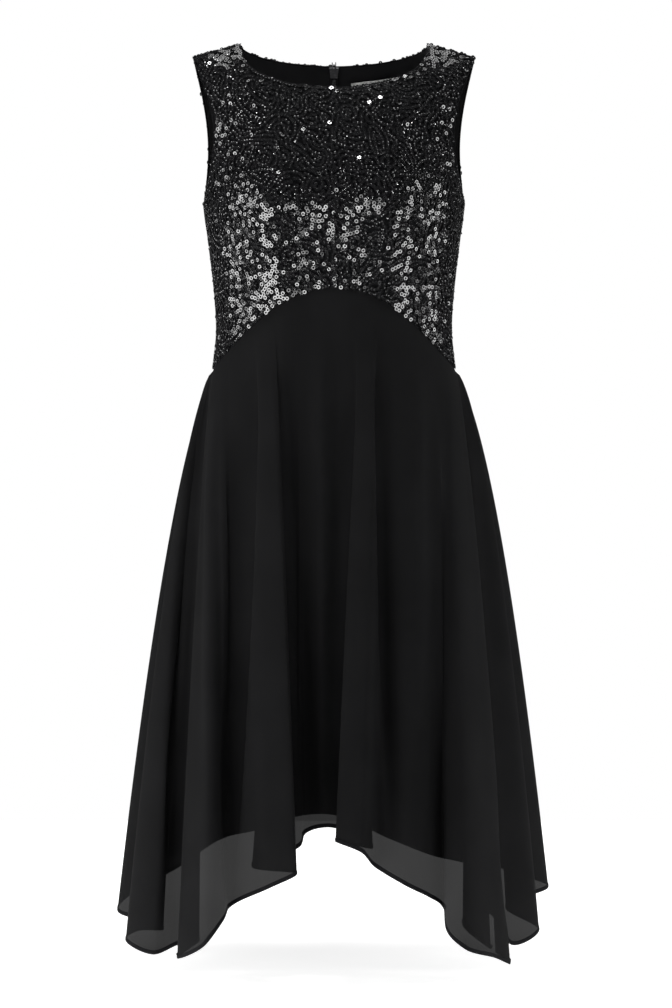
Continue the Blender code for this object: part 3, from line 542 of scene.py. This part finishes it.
def add_tube(name, path, side, normal, half_width, half_thickness, material, sides=8):
    """A closed-ended flat or round tube along a path, with its section set out in two directions."""
    turns = np.arange(sides) * (2 * math.pi / sides)
    across = side[:, None] * (np.cos(turns) * half_width)[None, :, None]
    through = normal[:, None] * (np.sin(turns) * half_thickness)[None, :, None]
    points = path[:, None] + across + through
    count = len(path)
    quads = grid_faces(count, sides, wrapped=True)
    triangles = np.concatenate([quads[:, [0, 1, 2]], quads[:, [0, 2, 3]]])
    first, last, top = count * sides, count * sides + 1, (count - 1) * sides
    caps = [(first, (k + 1) % sides, k) for k in range(sides)]
    caps += [(last, top + k, top + (k + 1) % sides) for k in range(sides)]
    all_points = np.concatenate([points.reshape(-1, 3), path[:1], path[-1:]])
    return add_mesh(name, all_points, np.concatenate([triangles, caps]), material)


def path_frames(path, normals):
    """For each point of a path its direction and the sideways direction that lies in the cloth."""
    along = unit(np.gradient(path, axis=0))
    return along, unit(np.cross(normals, along))


def spaced(path, normals, pitch):
    """Points and normals at an even pitch along a path."""
    steps = np.linalg.norm(np.diff(path, axis=0), axis=1)
    reach = np.concatenate([[0], np.cumsum(steps)])
    stops = np.arange(pitch / 2, reach[-1], pitch)
    places = np.stack([np.interp(stops, reach, path[:, k]) for k in range(3)], -1)
    facing = unit(np.stack([np.interp(stops, reach, normals[:, k]) for k in range(3)], -1))
    return places, facing


def add_copies(name, form, faces, places, axes, material, smooth=True):
    """One joined mesh of many copies of a small form, each at its place and turned to its three axes."""
    points = places[:, None] + np.einsum("kc,ncd->nkd", form, axes)
    offsets = np.arange(len(places))[:, None, None] * len(form)
    all_faces = (faces[None] + offsets).reshape(-1, faces.shape[1])
    return add_mesh(name, points.reshape(-1, 3), all_faces, material, smooth)


# ---------------------------------------------------------------- materials
# Woven cloths and threads. pitch: metres from thread to thread; weave: how strongly they show
CLOTHS = {
    # name: pitch, weave, roughness, index of refraction, alpha, sheen, darker dye, lighter dye
    "Chiffon": (0.0006, 0.35, 0.9, 1.2, 0.975, 0.0, (0.0053, 0.0053, 0.0056), (0.0070, 0.0070, 0.0074)),
    "Lining": (0.0005, 0.25, 0.6, 1.3, 1.0, 0.0, (0.006, 0.006, 0.007), (0.009, 0.009, 0.010)),
    "Bodice net": (0.0011, 0.8, 0.9, 1.2, 1.0, 0.0, (0.004, 0.004, 0.005), (0.008, 0.008, 0.009)),
    "Rolled hem": (0.0006, 0.5, 0.85, 1.2, 1.0, 0.0, (0.005, 0.005, 0.006), (0.009, 0.009, 0.010)),
    "Zip tape": (0.0008, 0.7, 0.8, 1.3, 1.0, 0.0, (0.008, 0.008, 0.009), (0.014, 0.014, 0.015)),
    "Woven label": (0.0004, 0.4, 0.6, 1.5, 1.0, 0.2, (0.86, 0.86, 0.84), (0.92, 0.92, 0.90)),
    "Sequin thread": (0.0003, 0.5, 0.7, 1.5, 1.0, 0.0, (0.010, 0.010, 0.011), (0.017, 0.017, 0.0185)),
    "Black sewing thread": (0.0003, 0.5, 0.7, 1.5, 1.0, 0.0, (0.006, 0.006, 0.007), (0.011, 0.011, 0.0125)),
    "White sewing thread": (0.0003, 0.5, 0.7, 1.5, 1.0, 0.0, (0.62, 0.62, 0.60), (0.932, 0.932, 0.902)),
}
WAVES_PER_UNIT = 0.314


def new_material(name):
    material = bpy.data.materials.new(name)
    material.use_nodes = True
    return material, material.node_tree.nodes, material.node_tree.links


def set_shader(nodes, **values):
    """Sets the sockets of a material's Principled shader; underscores in a name stand for spaces."""
    shader = nodes["Principled BSDF"]
    for name, value in values.items():
        shader.inputs[name.replace("_", " ").replace("Ior", "IOR")].default_value = value
    return shader


def add_node(nodes, kind, **settings):
    node = nodes.new(kind)
    for name, value in settings.items():
        if hasattr(node, name):
            setattr(node, name, value)
        else:
            node.inputs[name.replace("_", " ")].default_value = value
    return node


def add_ramp(nodes, *stops):
    """A colour ramp with a (position, grey shade) for each of its two ends."""
    ramp = nodes.new("ShaderNodeValToRGB")
    for element, (position, shade) in zip(ramp.color_ramp.elements, stops):
        element.position = position
        element.color = (*shade, 1)
    return ramp


def cloth_material(name):
    """A plain weave in object space: crossing threads as bump, and uneven dye as a slow change of colour."""
    pitch, weave, roughness, ior, alpha, sheen, dark, light = CLOTHS[name]
    material, nodes, links = new_material(name)
    shader = set_shader(nodes, Roughness=roughness, Ior=ior, Alpha=alpha, Sheen_Weight=sheen)
    place = nodes.new("ShaderNodeTexCoord")
    bands = []
    for direction in ("X", "Z"):
        scale = WAVES_PER_UNIT / pitch
        wave = add_node(nodes, "ShaderNodeTexWave", bands_direction=direction, Scale=scale, Distortion=0.6)
        links.new(place.outputs["Object"], wave.inputs["Vector"])
        bands.append(wave)
    threads = add_node(nodes, "ShaderNodeMath", operation="ADD")
    links.new(bands[0].outputs["Fac"], threads.inputs[0])
    links.new(bands[1].outputs["Fac"], threads.inputs[1])
    raised = add_node(nodes, "ShaderNodeBump", Strength=weave, Distance=pitch)
    links.new(threads.outputs[0], raised.inputs["Height"])
    links.new(raised.outputs["Normal"], shader.inputs["Normal"])
    cloud = add_node(nodes, "ShaderNodeTexNoise", Scale=14.0, Detail=5.0)
    links.new(place.outputs["Object"], cloud.inputs["Vector"])
    ramp = add_ramp(nodes, (0.35, dark), (0.65, light))
    links.new(cloud.outputs["Fac"], ramp.inputs["Fac"])
    links.new(ramp.outputs["Color"], shader.inputs["Base Color"])
    if alpha < 1:
        material.surface_render_method = "BLENDED"
    return material


def sequin_material():
    """Glossy black foil; each sequin's place gives it its own depth of black and its own gloss."""
    material, nodes, links = new_material("Sequin")
    shader = set_shader(nodes, Ior=1.7)
    place = nodes.new("ShaderNodeTexCoord")
    patches = add_node(nodes, "ShaderNodeTexVoronoi", Scale=420.0)
    links.new(place.outputs["Object"], patches.inputs["Vector"])
    shade = add_ramp(nodes, (0.0, (0.003, 0.003, 0.0035)), (1.0, (0.010, 0.010, 0.011)))
    links.new(patches.outputs["Color"], shade.inputs["Fac"])
    links.new(shade.outputs["Color"], shader.inputs["Base Color"])
    gloss = add_node(nodes, "ShaderNodeMapRange", To_Min=0.05, To_Max=0.14)
    links.new(patches.outputs["Color"], gloss.inputs["Value"])
    links.new(gloss.outputs["Result"], shader.inputs["Roughness"])
    return material


def metal_material():
    """Dark painted zip metal: faint orange peel in the paint, and a paler shade where it is rubbed."""
    material, nodes, links = new_material("Painted zip metal")
    shader = set_shader(nodes, Metallic=0.3)
    place = nodes.new("ShaderNodeTexCoord")
    peel = add_node(nodes, "ShaderNodeTexNoise", Scale=900.0, Detail=3.0)
    links.new(place.outputs["Object"], peel.inputs["Vector"])
    raised = add_node(nodes, "ShaderNodeBump", Strength=0.15, Distance=0.0002)
    links.new(peel.outputs["Fac"], raised.inputs["Height"])
    links.new(raised.outputs["Normal"], shader.inputs["Normal"])
    rub = add_node(nodes, "ShaderNodeTexNoise", Scale=260.0, Detail=6.0)
    links.new(place.outputs["Object"], rub.inputs["Vector"])
    shade = add_ramp(nodes, (0.5, (0.075, 0.075, 0.078)), (0.75, (0.150, 0.150, 0.155)))
    links.new(rub.outputs["Fac"], shade.inputs["Fac"])
    links.new(shade.outputs["Color"], shader.inputs["Base Color"])
    gloss = add_node(nodes, "ShaderNodeMapRange", To_Min=0.28, To_Max=0.45)
    links.new(rub.outputs["Fac"], gloss.inputs["Value"])
    links.new(gloss.outputs["Result"], shader.inputs["Roughness"])
    return material


# ---------------------------------------------------------------- sequins
def walk_sequins(front, side, seed):
    """Places (u, v, heading) of sequins along meandering lines that fill half a panel, and the lines' steps.

    Each line starts at a free spot and wanders, turning away from the lines already there, until it is
    hemmed in. The headings are angles in the cloth, measured from the u direction.
    """
    chance = random.Random(seed)
    divisions = 48
    share = np.linspace(0, 1, divisions + 1)
    grid_u, grid_v = np.meshgrid(share, share, indexing="ij")
    surface, _ = bodice_surface(grid_u * side, grid_v, front)
    along_u = np.gradient(surface, share, axis=0)
    along_v = np.gradient(surface, share, axis=1)
    length_u = np.linalg.norm(along_u, axis=-1)
    skew = (along_u * along_v).sum(-1) / length_u
    height_v = np.sqrt(np.maximum((along_v**2).sum(-1) - skew**2, 1e-8))
    cells = {}
    size = SEQUIN_LINE_GAP
    found, links = [], []

    def spot(u, v):
        fu, fv = u * divisions, v * divisions
        i, j = min(int(fu), divisions - 1), min(int(fv), divisions - 1)
        a, b = fu - i, fv - j
        return (
            surface[i, j] * ((1 - a) * (1 - b))
            + surface[i + 1, j] * (a * (1 - b))
            + surface[i, j + 1] * ((1 - a) * b)
            + surface[i + 1, j + 1] * (a * b)
        )

    def free(point, own):
        x, y, z = (int(math.floor(c / size)) for c in point)
        for dx in (-1, 0, 1):
            for dy in (-1, 0, 1):
                for dz in (-1, 0, 1):
                    for index, other in cells.get((x + dx, y + dy, z + dz), ()):
                        gap = sum((a - b) ** 2 for a, b in zip(point, other))
                        limit = SEQUIN_STEP * 0.86 if index in own else SEQUIN_LINE_GAP
                        if gap < limit * limit:
                            return False
        return True

    def put(u, v, point, heading):
        index = len(found)
        found.append((u, v, heading))
        key = tuple(int(math.floor(c / size)) for c in point)
        cells.setdefault(key, []).append((index, tuple(point)))
        return index

    def step(u, v, heading):
        i, j = min(int(u * divisions), divisions - 1), min(int(v * divisions), divisions - 1)
        dv = math.sin(heading) * SEQUIN_STEP / height_v[i, j]
        du = (math.cos(heading) * SEQUIN_STEP - skew[i, j] * dv) / length_u[i, j]
        return u + du, v + dv

    seeds = [
        ((i + chance.random()) / SEQUIN_SEEDS, (j + chance.random()) / SEQUIN_SEEDS)
        for i in range(SEQUIN_SEEDS)
        for j in range(SEQUIN_SEEDS)
    ]
    chance.shuffle(seeds)
    for u, v in seeds:
        point = spot(u, v)
        if not free(point, ()):
            continue
        heading = chance.uniform(0, 2 * math.pi)
        last = put(u, v, point, heading)
        own = [last]
        curl = chance.uniform(-0.5, 0.5)
        for _ in range(400):
            if chance.random() < 0.18:
                curl = chance.uniform(-0.75, 0.75)
            for turn in (0, 0.5, -0.5, 1.0, -1.0, 1.5, -1.5, 2.0, -2.0):
                tried = heading + curl + turn
                next_u, next_v = step(u, v, tried)
                if not (0 <= next_u <= 1 and 0 <= next_v <= 1):
                    continue
                point = spot(next_u, next_v)
                if free(point, own[-3:]):
                    break
            else:
                break
            u, v, heading = next_u, next_v, tried
            index = put(u, v, point, heading)
            links.append((last, index))
            last = index
            own.append(index)
    return np.array(found), np.array(links)


def add_sequins(name, front, side, seed, foil, thread):
    """The sequins of half a panel as one mesh, and the thread between them as another."""
    places, steps = walk_sequins(front, side, seed)
    u, v, heading = places[:, 0] * side, places[:, 1], places[:, 2]
    points, normals = bodice_surface(u, v, front)
    small = 1e-3
    near, _ = bodice_surface(np.clip(u + small * side, -1, 1), v, front)
    back, _ = bodice_surface(np.clip(u - small * side, -1, 1), v, front)
    e1 = near - back
    e1 = unit(e1 - normals * (e1 * normals).sum(-1, keepdims=True))
    e2 = np.cross(normals, e1) * side
    along = e1 * np.cos(heading)[:, None] + e2 * np.sin(heading)[:, None]
    chance = np.random.default_rng(seed)
    count = len(points)
    spread = np.where(chance.random(count) < SEQUIN_LOOSE_SHARE, SEQUIN_LOOSE_SPREAD, SEQUIN_SPREAD)
    lean = np.radians(SEQUIN_LEAN + spread * chance.standard_normal(count))[:, None]
    roll = np.radians(spread * chance.standard_normal(count))[:, None]
    across = np.cross(normals, along)
    facing = unit(normals + along * np.tan(lean) + across * np.tan(roll))
    x_axis = unit(along - facing * (along * facing).sum(-1, keepdims=True))
    y_axis = np.cross(facing, x_axis)
    turns = np.arange(SEQUIN_SIDES) * (2 * math.pi / SEQUIN_SIDES)
    ring = np.stack([np.cos(turns), np.sin(turns), np.zeros(SEQUIN_SIDES)], -1)
    hole = ring * SEQUIN_HOLE - (0, 0, SEQUIN_CUP)
    form = np.concatenate([ring * SEQUIN_RADIUS, ring * SEQUIN_CUP_RADIUS, hole])
    k = np.arange(SEQUIN_SIDES)
    n = (k + 1) % SEQUIN_SIDES
    rim = np.stack([k, n, n + SEQUIN_SIDES, k + SEQUIN_SIDES], -1)
    faces = np.concatenate([rim, rim + SEQUIN_SIDES])
    axes = np.stack([x_axis, y_axis, facing], 1)
    lifted = points + normals * (SEQUIN_LIFT + SEQUIN_LIFT_SPREAD * chance.random((count, 1)))
    discs = add_copies(name, form, faces, lifted, axes, foil, smooth=False)

    start, end = lifted[steps[:, 0]], lifted[steps[:, 1]]
    out = normals[steps[:, 0]] * THREAD_RADIUS * 2
    run = unit(end - start)
    sideways = np.cross(run, normals[steps[:, 0]]) * THREAD_RADIUS
    section = (sideways, -sideways, out)
    corners = np.stack([tip + way for tip in (start, end) for way in section], 1)
    prism = np.array([(0, 1, 4, 3), (1, 2, 5, 4), (2, 0, 3, 5)])
    offsets = np.arange(len(steps))[:, None, None] * 6
    threads = add_mesh(
        name + "_thread", corners.reshape(-1, 3), (prism[None] + offsets).reshape(-1, 4), thread
    )
    return discs, threads


# ---------------------------------------------------------------- cloth pieces
PANELS = (
    # name, first and last angle round the seam
    ("front", -90, 90),
    ("back_left", 90, 180),
    ("back_right", 180, 270),
)
LINING_COLUMNS, LINING_ROWS = 240, 48
# How near u is to 0 where a bodice back half has its edge at the centre
NEAR_CENTRE = 0.001


def ring_panel(angles, points, start, end):
    """The columns of a closed ring between two seam angles, both ends included."""
    wanted = [k for k, angle in enumerate(angles) if start - 1e-6 <= angle <= end + 1e-6]
    if end == 270:
        wanted.append(0)
    return points[wanted]


def stand_for(node):
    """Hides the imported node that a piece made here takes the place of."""
    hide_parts(node)


def carry(piece, carrier):
    """The piece goes with its carrier."""
    piece.parent = carrier


def make_bodice(net, foil, thread, edge):
    """The three bodice pieces in order round the dress, with their rolled edges and sequins."""
    columns, rows = 72, 90
    cloths = []
    v = np.linspace(0, 1, rows + 1)
    for name, front, low, high in (
        ("bodice_front", True, -1, 1),
        ("bodice_back_left", False, 0, 1),
        ("bodice_back_right", False, -1, 0),
    ):
        u = np.linspace(low, high, columns * (high - low) + 1)
        if not front:
            u = np.where(u == 0, NEAR_CENTRE / 2 * (high or low), u)
        grid_u, grid_v = np.meshgrid(u, v, indexing="ij")
        points, normals = bodice_surface(grid_u, grid_v, front, BODICE_WALL / 2)
        if not front:
            points[np.abs(grid_u) < NEAR_CENTRE, 0] = math.copysign(SEAM_GAP / 2, high or low)
        cloth = add_sheet(name + "_net", points, net)
        stand_for(name)
        cloths.append(cloth)
        for word, path, facing in (
            ("top", points[:, -1], normals[:, -1]),
            ("low_side", points[0], normals[0]),
            ("high_side", points[-1], normals[-1]),
        ):
            if not front and word == ("low_side" if high else "high_side"):
                continue
            _, sideways = path_frames(path, facing)
            sizes = (EDGE_ROLL_RADIUS, EDGE_ROLL_RADIUS)
            roll = add_tube(f"{name}_{word}_roll", path, sideways, facing, *sizes, edge, 6)
            carry(roll, cloth)
    for name, front, side, seed in (
        ("sequins_front_left", True, 1, 11),
        ("sequins_front_right", True, -1, 12),
        ("sequins_back_left", False, 1, 13),
        ("sequins_back_right", False, -1, 14),
    ):
        for piece in add_sequins(name, front, side, seed, foil, thread):
            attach(piece, "dress")
    return cloths


def make_bodice_linings(lining):
    """The plain lining inside each back half, from the zip tape to the side seam and the armhole."""
    columns, rows = 48, 60
    grid_u, grid_v = np.meshgrid(np.linspace(0, 1, columns + 1), np.linspace(0, 1, rows + 1), indexing="ij")
    depth = BODICE_WALL + 2 * SEAM_GAP + LINING_WALL / 2
    edge_x = TAPE_HALF_WIDTH + SEAM_GAP
    cloths = []
    for word, side in (("left", 1), ("right", -1)):
        points, _ = bodice_surface(np.maximum(grid_u, 1e-4) * side, grid_v, False, depth)
        for j in range(rows + 1):
            x = np.abs(points[:, j, 0])
            first = int(np.argmax(x > edge_x))
            f = (edge_x - x[first - 1]) / (x[first] - x[first - 1])
            points[:first, j] = points[first - 1, j] * (1 - f) + points[first, j] * f
        piece = add_sheet(f"bodice_lining_back_{word}_cloth", points[1:][::side], lining)
        stand_for(f"bodice_lining_back_{word}")
        cloths.append(piece)
    return cloths


def make_skirt(chiffon, hem):
    """The skirt's three panels in order round the dress, each with its rolled hem."""
    angles, points, normals = skirt_ring(14, 84)
    cloths = []
    for name, start, end in PANELS:
        panel, facing = ring_panel(angles, points, start, end), ring_panel(angles, normals, start, end)
        cloth = add_sheet(f"skirt_{name}_chiffon", panel[:, ::-1], chiffon)
        stand_for(f"skirt_{name}")
        _, down = path_frames(panel[:, -1], facing[:, -1])
        down *= np.sign((down * (panel[:, -1] - panel[:, -2])).sum(-1, keepdims=True))
        middle = panel[:, -1] - down * (HEM_WIDTH / 2)
        sizes = (HEM_WIDTH / 2, HEM_THICKNESS / 2)
        rolled = add_tube(f"skirt_{name}_rolled_hem", middle, down, facing[:, -1], *sizes, hem)
        carry(rolled, cloth)
        cloths.append(cloth)
    return cloths


def make_skirt_lining(lining):
    """The skirt lining's three panels in order round the dress, each with its turned-up hem."""
    angles, points, normals = lining_ring(LINING_COLUMNS, LINING_ROWS)
    cloths = []
    for name, start, end in PANELS:
        panel, facing = ring_panel(angles, points, start, end), ring_panel(angles, normals, start, end)
        cloth = add_sheet(f"skirt_lining_{name}_cloth", panel[:, ::-1], lining)
        stand_for(f"skirt_lining_{name}")
        down = unit(panel[:, -1] - panel[:, -2])
        sizes = (LINING_HEM_WIDTH / 2, LINING_HEM_THICKNESS / 2)
        middle = panel[:, -1] - down * sizes[0] - facing[:, -1] * sizes[1]
        turned = add_tube(f"skirt_lining_{name}_hem", middle, down, facing[:, -1], *sizes, lining)
        carry(turned, cloth)
        cloths.append(cloth)
    return cloths


# ---------------------------------------------------------------- zip, label and stitches
def node_tree(name):
    """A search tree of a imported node's faces."""
    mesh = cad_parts[name].data
    return BVHTree.FromPolygons([v.co[:] for v in mesh.vertices], [p.vertices[:] for p in mesh.polygons])


def inner_face(tree, x, z):
    """The point and the inward normal where a level line from the middle of the dress meets the back."""
    hit, normal, _, _ = tree.ray_cast(Vector((x, 0.0, z)), Vector((0, 1, 0)))
    return (None, None) if hit is None else (np.array(hit), np.array(normal))


def face_line(tree, places):
    """Arrays of the points and normals met at a list of (x, z), leaving out those that miss."""
    met = [inner_face(tree, x, z) for x, z in places]
    met = [pair for pair in met if pair[0] is not None]
    return np.array([point for point, _ in met]), np.array([normal for _, normal in met])


def face_grid(tree, columns, depth):
    """Points this deep under a face, by column of (x, z) places, without the rows that miss in any column."""
    met = [[inner_face(tree, x, z) for x, z in column] for column in columns]
    whole = [j for j in range(len(met[0])) if all(column[j][0] is not None for column in met)]
    return np.array([[column[j][0] - column[j][1] * depth for j in whole] for column in met])


def bent_rod(length, radius, height, bends, end_girth, flatness, sides):
    """Points and faces of a small rod whose middle stands up and whose thinner ends dip.

    bends: the share of the length at which it levels off, and the share of the height that it has there.
    """
    turns = np.arange(sides) * (2 * math.pi / sides)
    level_off, raised = bends
    rings = []
    for share, rise, girth in (
        (-0.5, 0.0, end_girth),
        (-level_off, raised, 1.0),
        (level_off, raised, 1.0),
        (0.5, 0.0, end_girth),
    ):
        across, up = np.cos(turns) * radius * girth, np.sin(turns) * radius * girth * flatness
        rings.append(np.stack([np.full(sides, share * length), across, rise * height + up], -1))
    return np.concatenate(rings), grid_faces(len(rings), sides, wrapped=True)


def add_stitches(name, path, normals, thread, carrier, slant=0.0):
    """A row of sewn stitches along a path, each a short thread that dips into the cloth at both ends."""
    places, facing = spaced(path, normals, STITCH_PITCH)
    along = unit(np.gradient(places, axis=0))
    across = unit(np.cross(facing, along))
    along = unit(along * cosine(slant) + across * sine(slant))
    axes = np.stack([along, unit(np.cross(facing, along)), facing], 1)
    form, faces = bent_rod(STITCH_LENGTH, STITCH_RADIUS, STITCH_RADIUS, (0.25, 0.8), 0.55, 1.0, 5)
    row = add_copies(name, form, faces, places, axes, thread)
    row.parent = carrier


def make_zip(tape, metal, thread):
    """The zip's two tapes, its closed rows of coil teeth below the slider, and the stop at its foot."""
    pieces = {}
    levels = np.linspace(TAPE_FOOT_Z, TAPE_TOP_Z, 191)
    across_tape = np.linspace(SEAM_GAP / 2 + TAPE_INSET, TAPE_HALF_WIDTH - TAPE_INSET, 7)
    form, faces = bent_rod(TOOTH_LENGTH, TOOTH_WIDTH / 2, TOOTH_HEIGHT, (0.3, 0.85), 0.7, 0.8, 6)
    for side, word in ((1, "left"), (-1, "right")):
        tree = node_tree(f"zip_tape_{word}")
        columns = [[(side * x, z) for z in levels] for x in across_tape[::side]]
        cloth = add_sheet(f"zip_tape_{word}_cloth", face_grid(tree, columns, LINING_WALL / 2), tape)
        stand_for(f"zip_tape_{word}")
        pieces[word] = cloth
        path, normals = face_line(tree, [(side * TAPE_STITCH_X, z) for z in levels[2:-2]])
        add_stitches(f"zip_tape_{word}_stitches", path, normals, thread, cloth)

        heights = np.arange(ZIP_FOOT_Z, ZIP_TOP_Z, TOOTH_PITCH) + (TOOTH_PITCH / 2 if side > 0 else 0)
        points, normals = face_line(tree, [(side * TOOTH_X, z) for z in heights])
        along = unit(np.gradient(points, axis=0))
        axes = np.stack([np.cross(along, normals), along, normals], 1)
        teeth = add_copies(f"zip_teeth_{word}", form, faces, points, axes, metal)
        carry(teeth, cloth)
    stop_levels = np.linspace(ZIP_FOOT_Z - STOP_LENGTH, ZIP_FOOT_Z, 9)
    points, normals = face_line(node_tree("zip_tape_left"), [(SEAM_GAP, z) for z in stop_levels])
    points[:, 0] = 0
    _, sideways = path_frames(points, normals)
    swell = np.sin(np.linspace(0.25, math.pi - 0.25, len(points)))[:, None]
    middle = points + normals * STOP_LIFT
    sizes = (STOP_HALF_WIDTH, STOP_HALF_HEIGHT)
    stop = add_tube("zip_foot_stop", middle, sideways * swell, normals * swell, *sizes, metal, 12)
    carry(stop, pieces["left"])
    return list(pieces.values())


def make_label(ribbon, thread):
    """The blank label: a ribbon with both ends turned under, sewn to the lining at its ends."""
    tree = node_tree("neck_label")

    def places(reach, inset, count, shift=0.0):
        foot = LABEL_TOP_Z - LABEL_HEIGHT + LABEL_RISE * reach / LABEL_WIDTH
        x = LABEL_LEFT_X + (reach + shift)
        return [(x, z) for z in foot + np.linspace(inset, LABEL_HEIGHT - inset, count)]

    reaches = np.linspace(LABEL_INSET, LABEL_WIDTH - LABEL_INSET, 49)
    columns = [places(reach, LABEL_INSET, 31) for reach in reaches]
    cloth = add_sheet("neck_label_ribbon", face_grid(tree, columns, LABEL_WALL / 2), ribbon)
    stand_for("neck_label")
    for word, side, reach in (("left", 1, LABEL_FOLD_PLACE), ("right", -1, LABEL_WIDTH - LABEL_FOLD_PLACE)):
        path, normals = face_line(tree, places(reach, 3 * LABEL_INSET, 30))
        _, sideways = path_frames(path, normals)
        middle = path - normals * (LABEL_WALL / 2)
        sizes = (LABEL_FOLD_RADIUS * 2, LABEL_FOLD_RADIUS)
        fold = add_tube(f"neck_label_{word}_fold", middle, sideways, normals, *sizes, ribbon)
        fold.parent = cloth
        path, normals = face_line(tree, places(reach, 3 * LABEL_INSET, 30, side * LABEL_STITCH_SHIFT))
        path = path - normals * (0.4 * LABEL_WALL)
        add_stitches(f"neck_label_{word}_stitches", path, normals, thread, cloth)
    return cloth


def make_seams(bodice, skirt, skirt_lining, thread):
    """Sewn stitches down the skirt's seams, along the arched seam and round the lining's hem."""
    angles, points, normals = skirt_ring(4, 60)
    for word, angle in (("right_side", -90), ("left_side", 90), ("centre_back", 180)):
        column = int(np.argmin(np.abs(angles - angle)))
        path, facing = points[column, 1:-1], normals[column, 1:-1]
        add_stitches(f"skirt_{word}_seam", path + facing * (CHIFFON_WALL / 4), facing, thread, skirt[0])
    round_angles = np.arange(-90, 270, 1.5)
    angles, points, normals = lining_ring(LINING_COLUMNS, LINING_ROWS)
    for k, (name, start, end) in enumerate(PANELS):
        wanted = round_angles[(round_angles >= start + 1) & (round_angles <= end - 1)]
        level = arch_level(wanted)
        facing = form_normal(wanted, level)
        path = form_point(wanted, level) - (0, 0, SEAM_GAP) - facing * (BODICE_WALL / 3)
        add_stitches(f"arch_seam_{name}", path, facing, thread, bodice[k], ARCH_STITCH_SLANT)

        panel, facing = ring_panel(angles, points, start, end), ring_panel(angles, normals, start, end)
        up = unit(panel[:, -2] - panel[:, -1])
        path = panel[:, -1] + up * (LINING_HEM_WIDTH - 0.001) + facing[:, -1] * (LINING_WALL / 4)
        add_stitches(f"skirt_lining_{name}_stitches", path, facing[:, -1], thread, skirt_lining[k])


def make_hardware(metal):
    """The slider and its pull with their edges rounded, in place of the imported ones."""
    for name, body in (("zip_slider", "dress"), ("zip_pull", "pull")):
        form = bmesh.new()
        form.from_mesh(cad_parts[name].data)
        bmesh.ops.remove_doubles(form, verts=form.verts, dist=0.00001)
        least = math.radians(METAL_BEVEL_ANGLE)
        sharp = [edge for edge in form.edges if edge.is_manifold and edge.calc_face_angle() > least]
        bmesh.ops.bevel(
            form, geom=sharp, offset=METAL_BEVEL, segments=2, profile=0.7, affect="EDGES", clamp_overlap=True
        )
        for face in form.faces:
            face.smooth = True
        mesh = bpy.data.meshes.new(name + "_painted")
        form.to_mesh(mesh)
        form.free()
        mesh.materials.append(metal)
        piece = bpy.data.objects.new(name + "_painted", mesh)
        bpy.context.scene.collection.objects.link(piece)
        stand_for(name)
        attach(piece, body)


# ---------------------------------------------------------------- camera, lights and floor
def make_camera():
    data = bpy.data.cameras.new("camera")
    data.sensor_width = 36
    data.lens = 36 * CAMERA_DISTANCE / VIEW_HEIGHT
    data.shift_x, data.shift_y = VIEW_SHIFT_X, VIEW_SHIFT_Y
    camera = bpy.data.objects.new("camera", data)
    camera.location = (0, -CAMERA_DISTANCE, CAMERA_HEIGHT)
    camera.rotation_euler = (math.radians(90), 0, 0)
    bpy.context.scene.collection.objects.link(camera)
    bpy.context.scene.camera = camera


def add_softbox(name, place, aim, width, height, power, spread=180.0):
    data = bpy.data.lights.new(name, "AREA")
    data.shape = "RECTANGLE"
    data.size, data.size_y = width, height
    data.energy = power
    data.spread = math.radians(spread)
    light = bpy.data.objects.new(name, data)
    light.location = place
    light.rotation_mode = "QUATERNION"
    light.rotation_quaternion = (Vector(aim) - Vector(place)).to_track_quat("-Z", "Y")
    bpy.context.scene.collection.objects.link(light)


def make_studio():
    """Softboxes round the dress, a small lamp high up, a light over the floor, and a pale floor."""
    for name, azimuth, elevation, distance, width, height, power, spread in LIGHTS:
        level = cosine(elevation) * distance
        away = Vector((sine(azimuth) * level, -cosine(azimuth) * level, sine(elevation) * distance))
        add_softbox(name, Vector(LIT_POINT) + away, LIT_POINT, width, height, power, spread)
    add_softbox("overhead softbox", (0, 1.4, 2.2), (0, 0.6, -1.1), 3.0, 2.0, 60)
    world = bpy.data.worlds.new("surround")
    world.use_nodes = True
    nodes, links = world.node_tree.nodes, world.node_tree.links
    background = nodes["Background"]
    seen = nodes.new("ShaderNodeLightPath")
    strength = add_node(nodes, "ShaderNodeMapRange", To_Min=0.07, To_Max=1.0)
    links.new(seen.outputs["Is Camera Ray"], strength.inputs["Value"])
    links.new(strength.outputs["Result"], background.inputs["Strength"])
    background.inputs["Color"].default_value = (1, 1, 1, 1)
    bpy.context.scene.world = world
    bpy.context.scene.view_settings.view_transform = "Standard"

    material, nodes, _ = new_material("Floor")
    set_shader(nodes, Roughness=0.9, Base_Color=(0.8, 0.8, 0.8, 1))
    set_shader(nodes, Emission_Color=(1, 1, 1, 1), Emission_Strength=0.82)
    corners = [(-1.5, -0.45, FLOOR_Z), (1.5, -0.45, FLOOR_Z), (1.5, 1.2, FLOOR_Z), (-1.5, 1.2, FLOOR_Z)]
    floor = add_mesh("floor", corners, [(0, 1, 2, 3)], material)


def main():
    lining, metal = cloth_material("Lining"), metal_material()
    hem = cloth_material("Rolled hem")
    sewing = cloth_material("Black sewing thread")
    thread = cloth_material("Sequin thread")
    bodice = make_bodice(cloth_material("Bodice net"), sequin_material(), thread, hem)
    bodice_linings = make_bodice_linings(lining)
    skirt = make_skirt(cloth_material("Chiffon"), hem)
    skirt_lining = make_skirt_lining(lining)
    make_seams(bodice, skirt, skirt_lining, sewing)
    tapes = make_zip(cloth_material("Zip tape"), metal, sewing)
    neck_label = make_label(cloth_material("Woven label"), cloth_material("White sewing thread"))
    for piece in [*bodice, *bodice_linings, *skirt, *skirt_lining, *tapes, neck_label]:
        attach(piece, "dress")
    make_hardware(metal)
    make_camera()
    make_studio()


main()
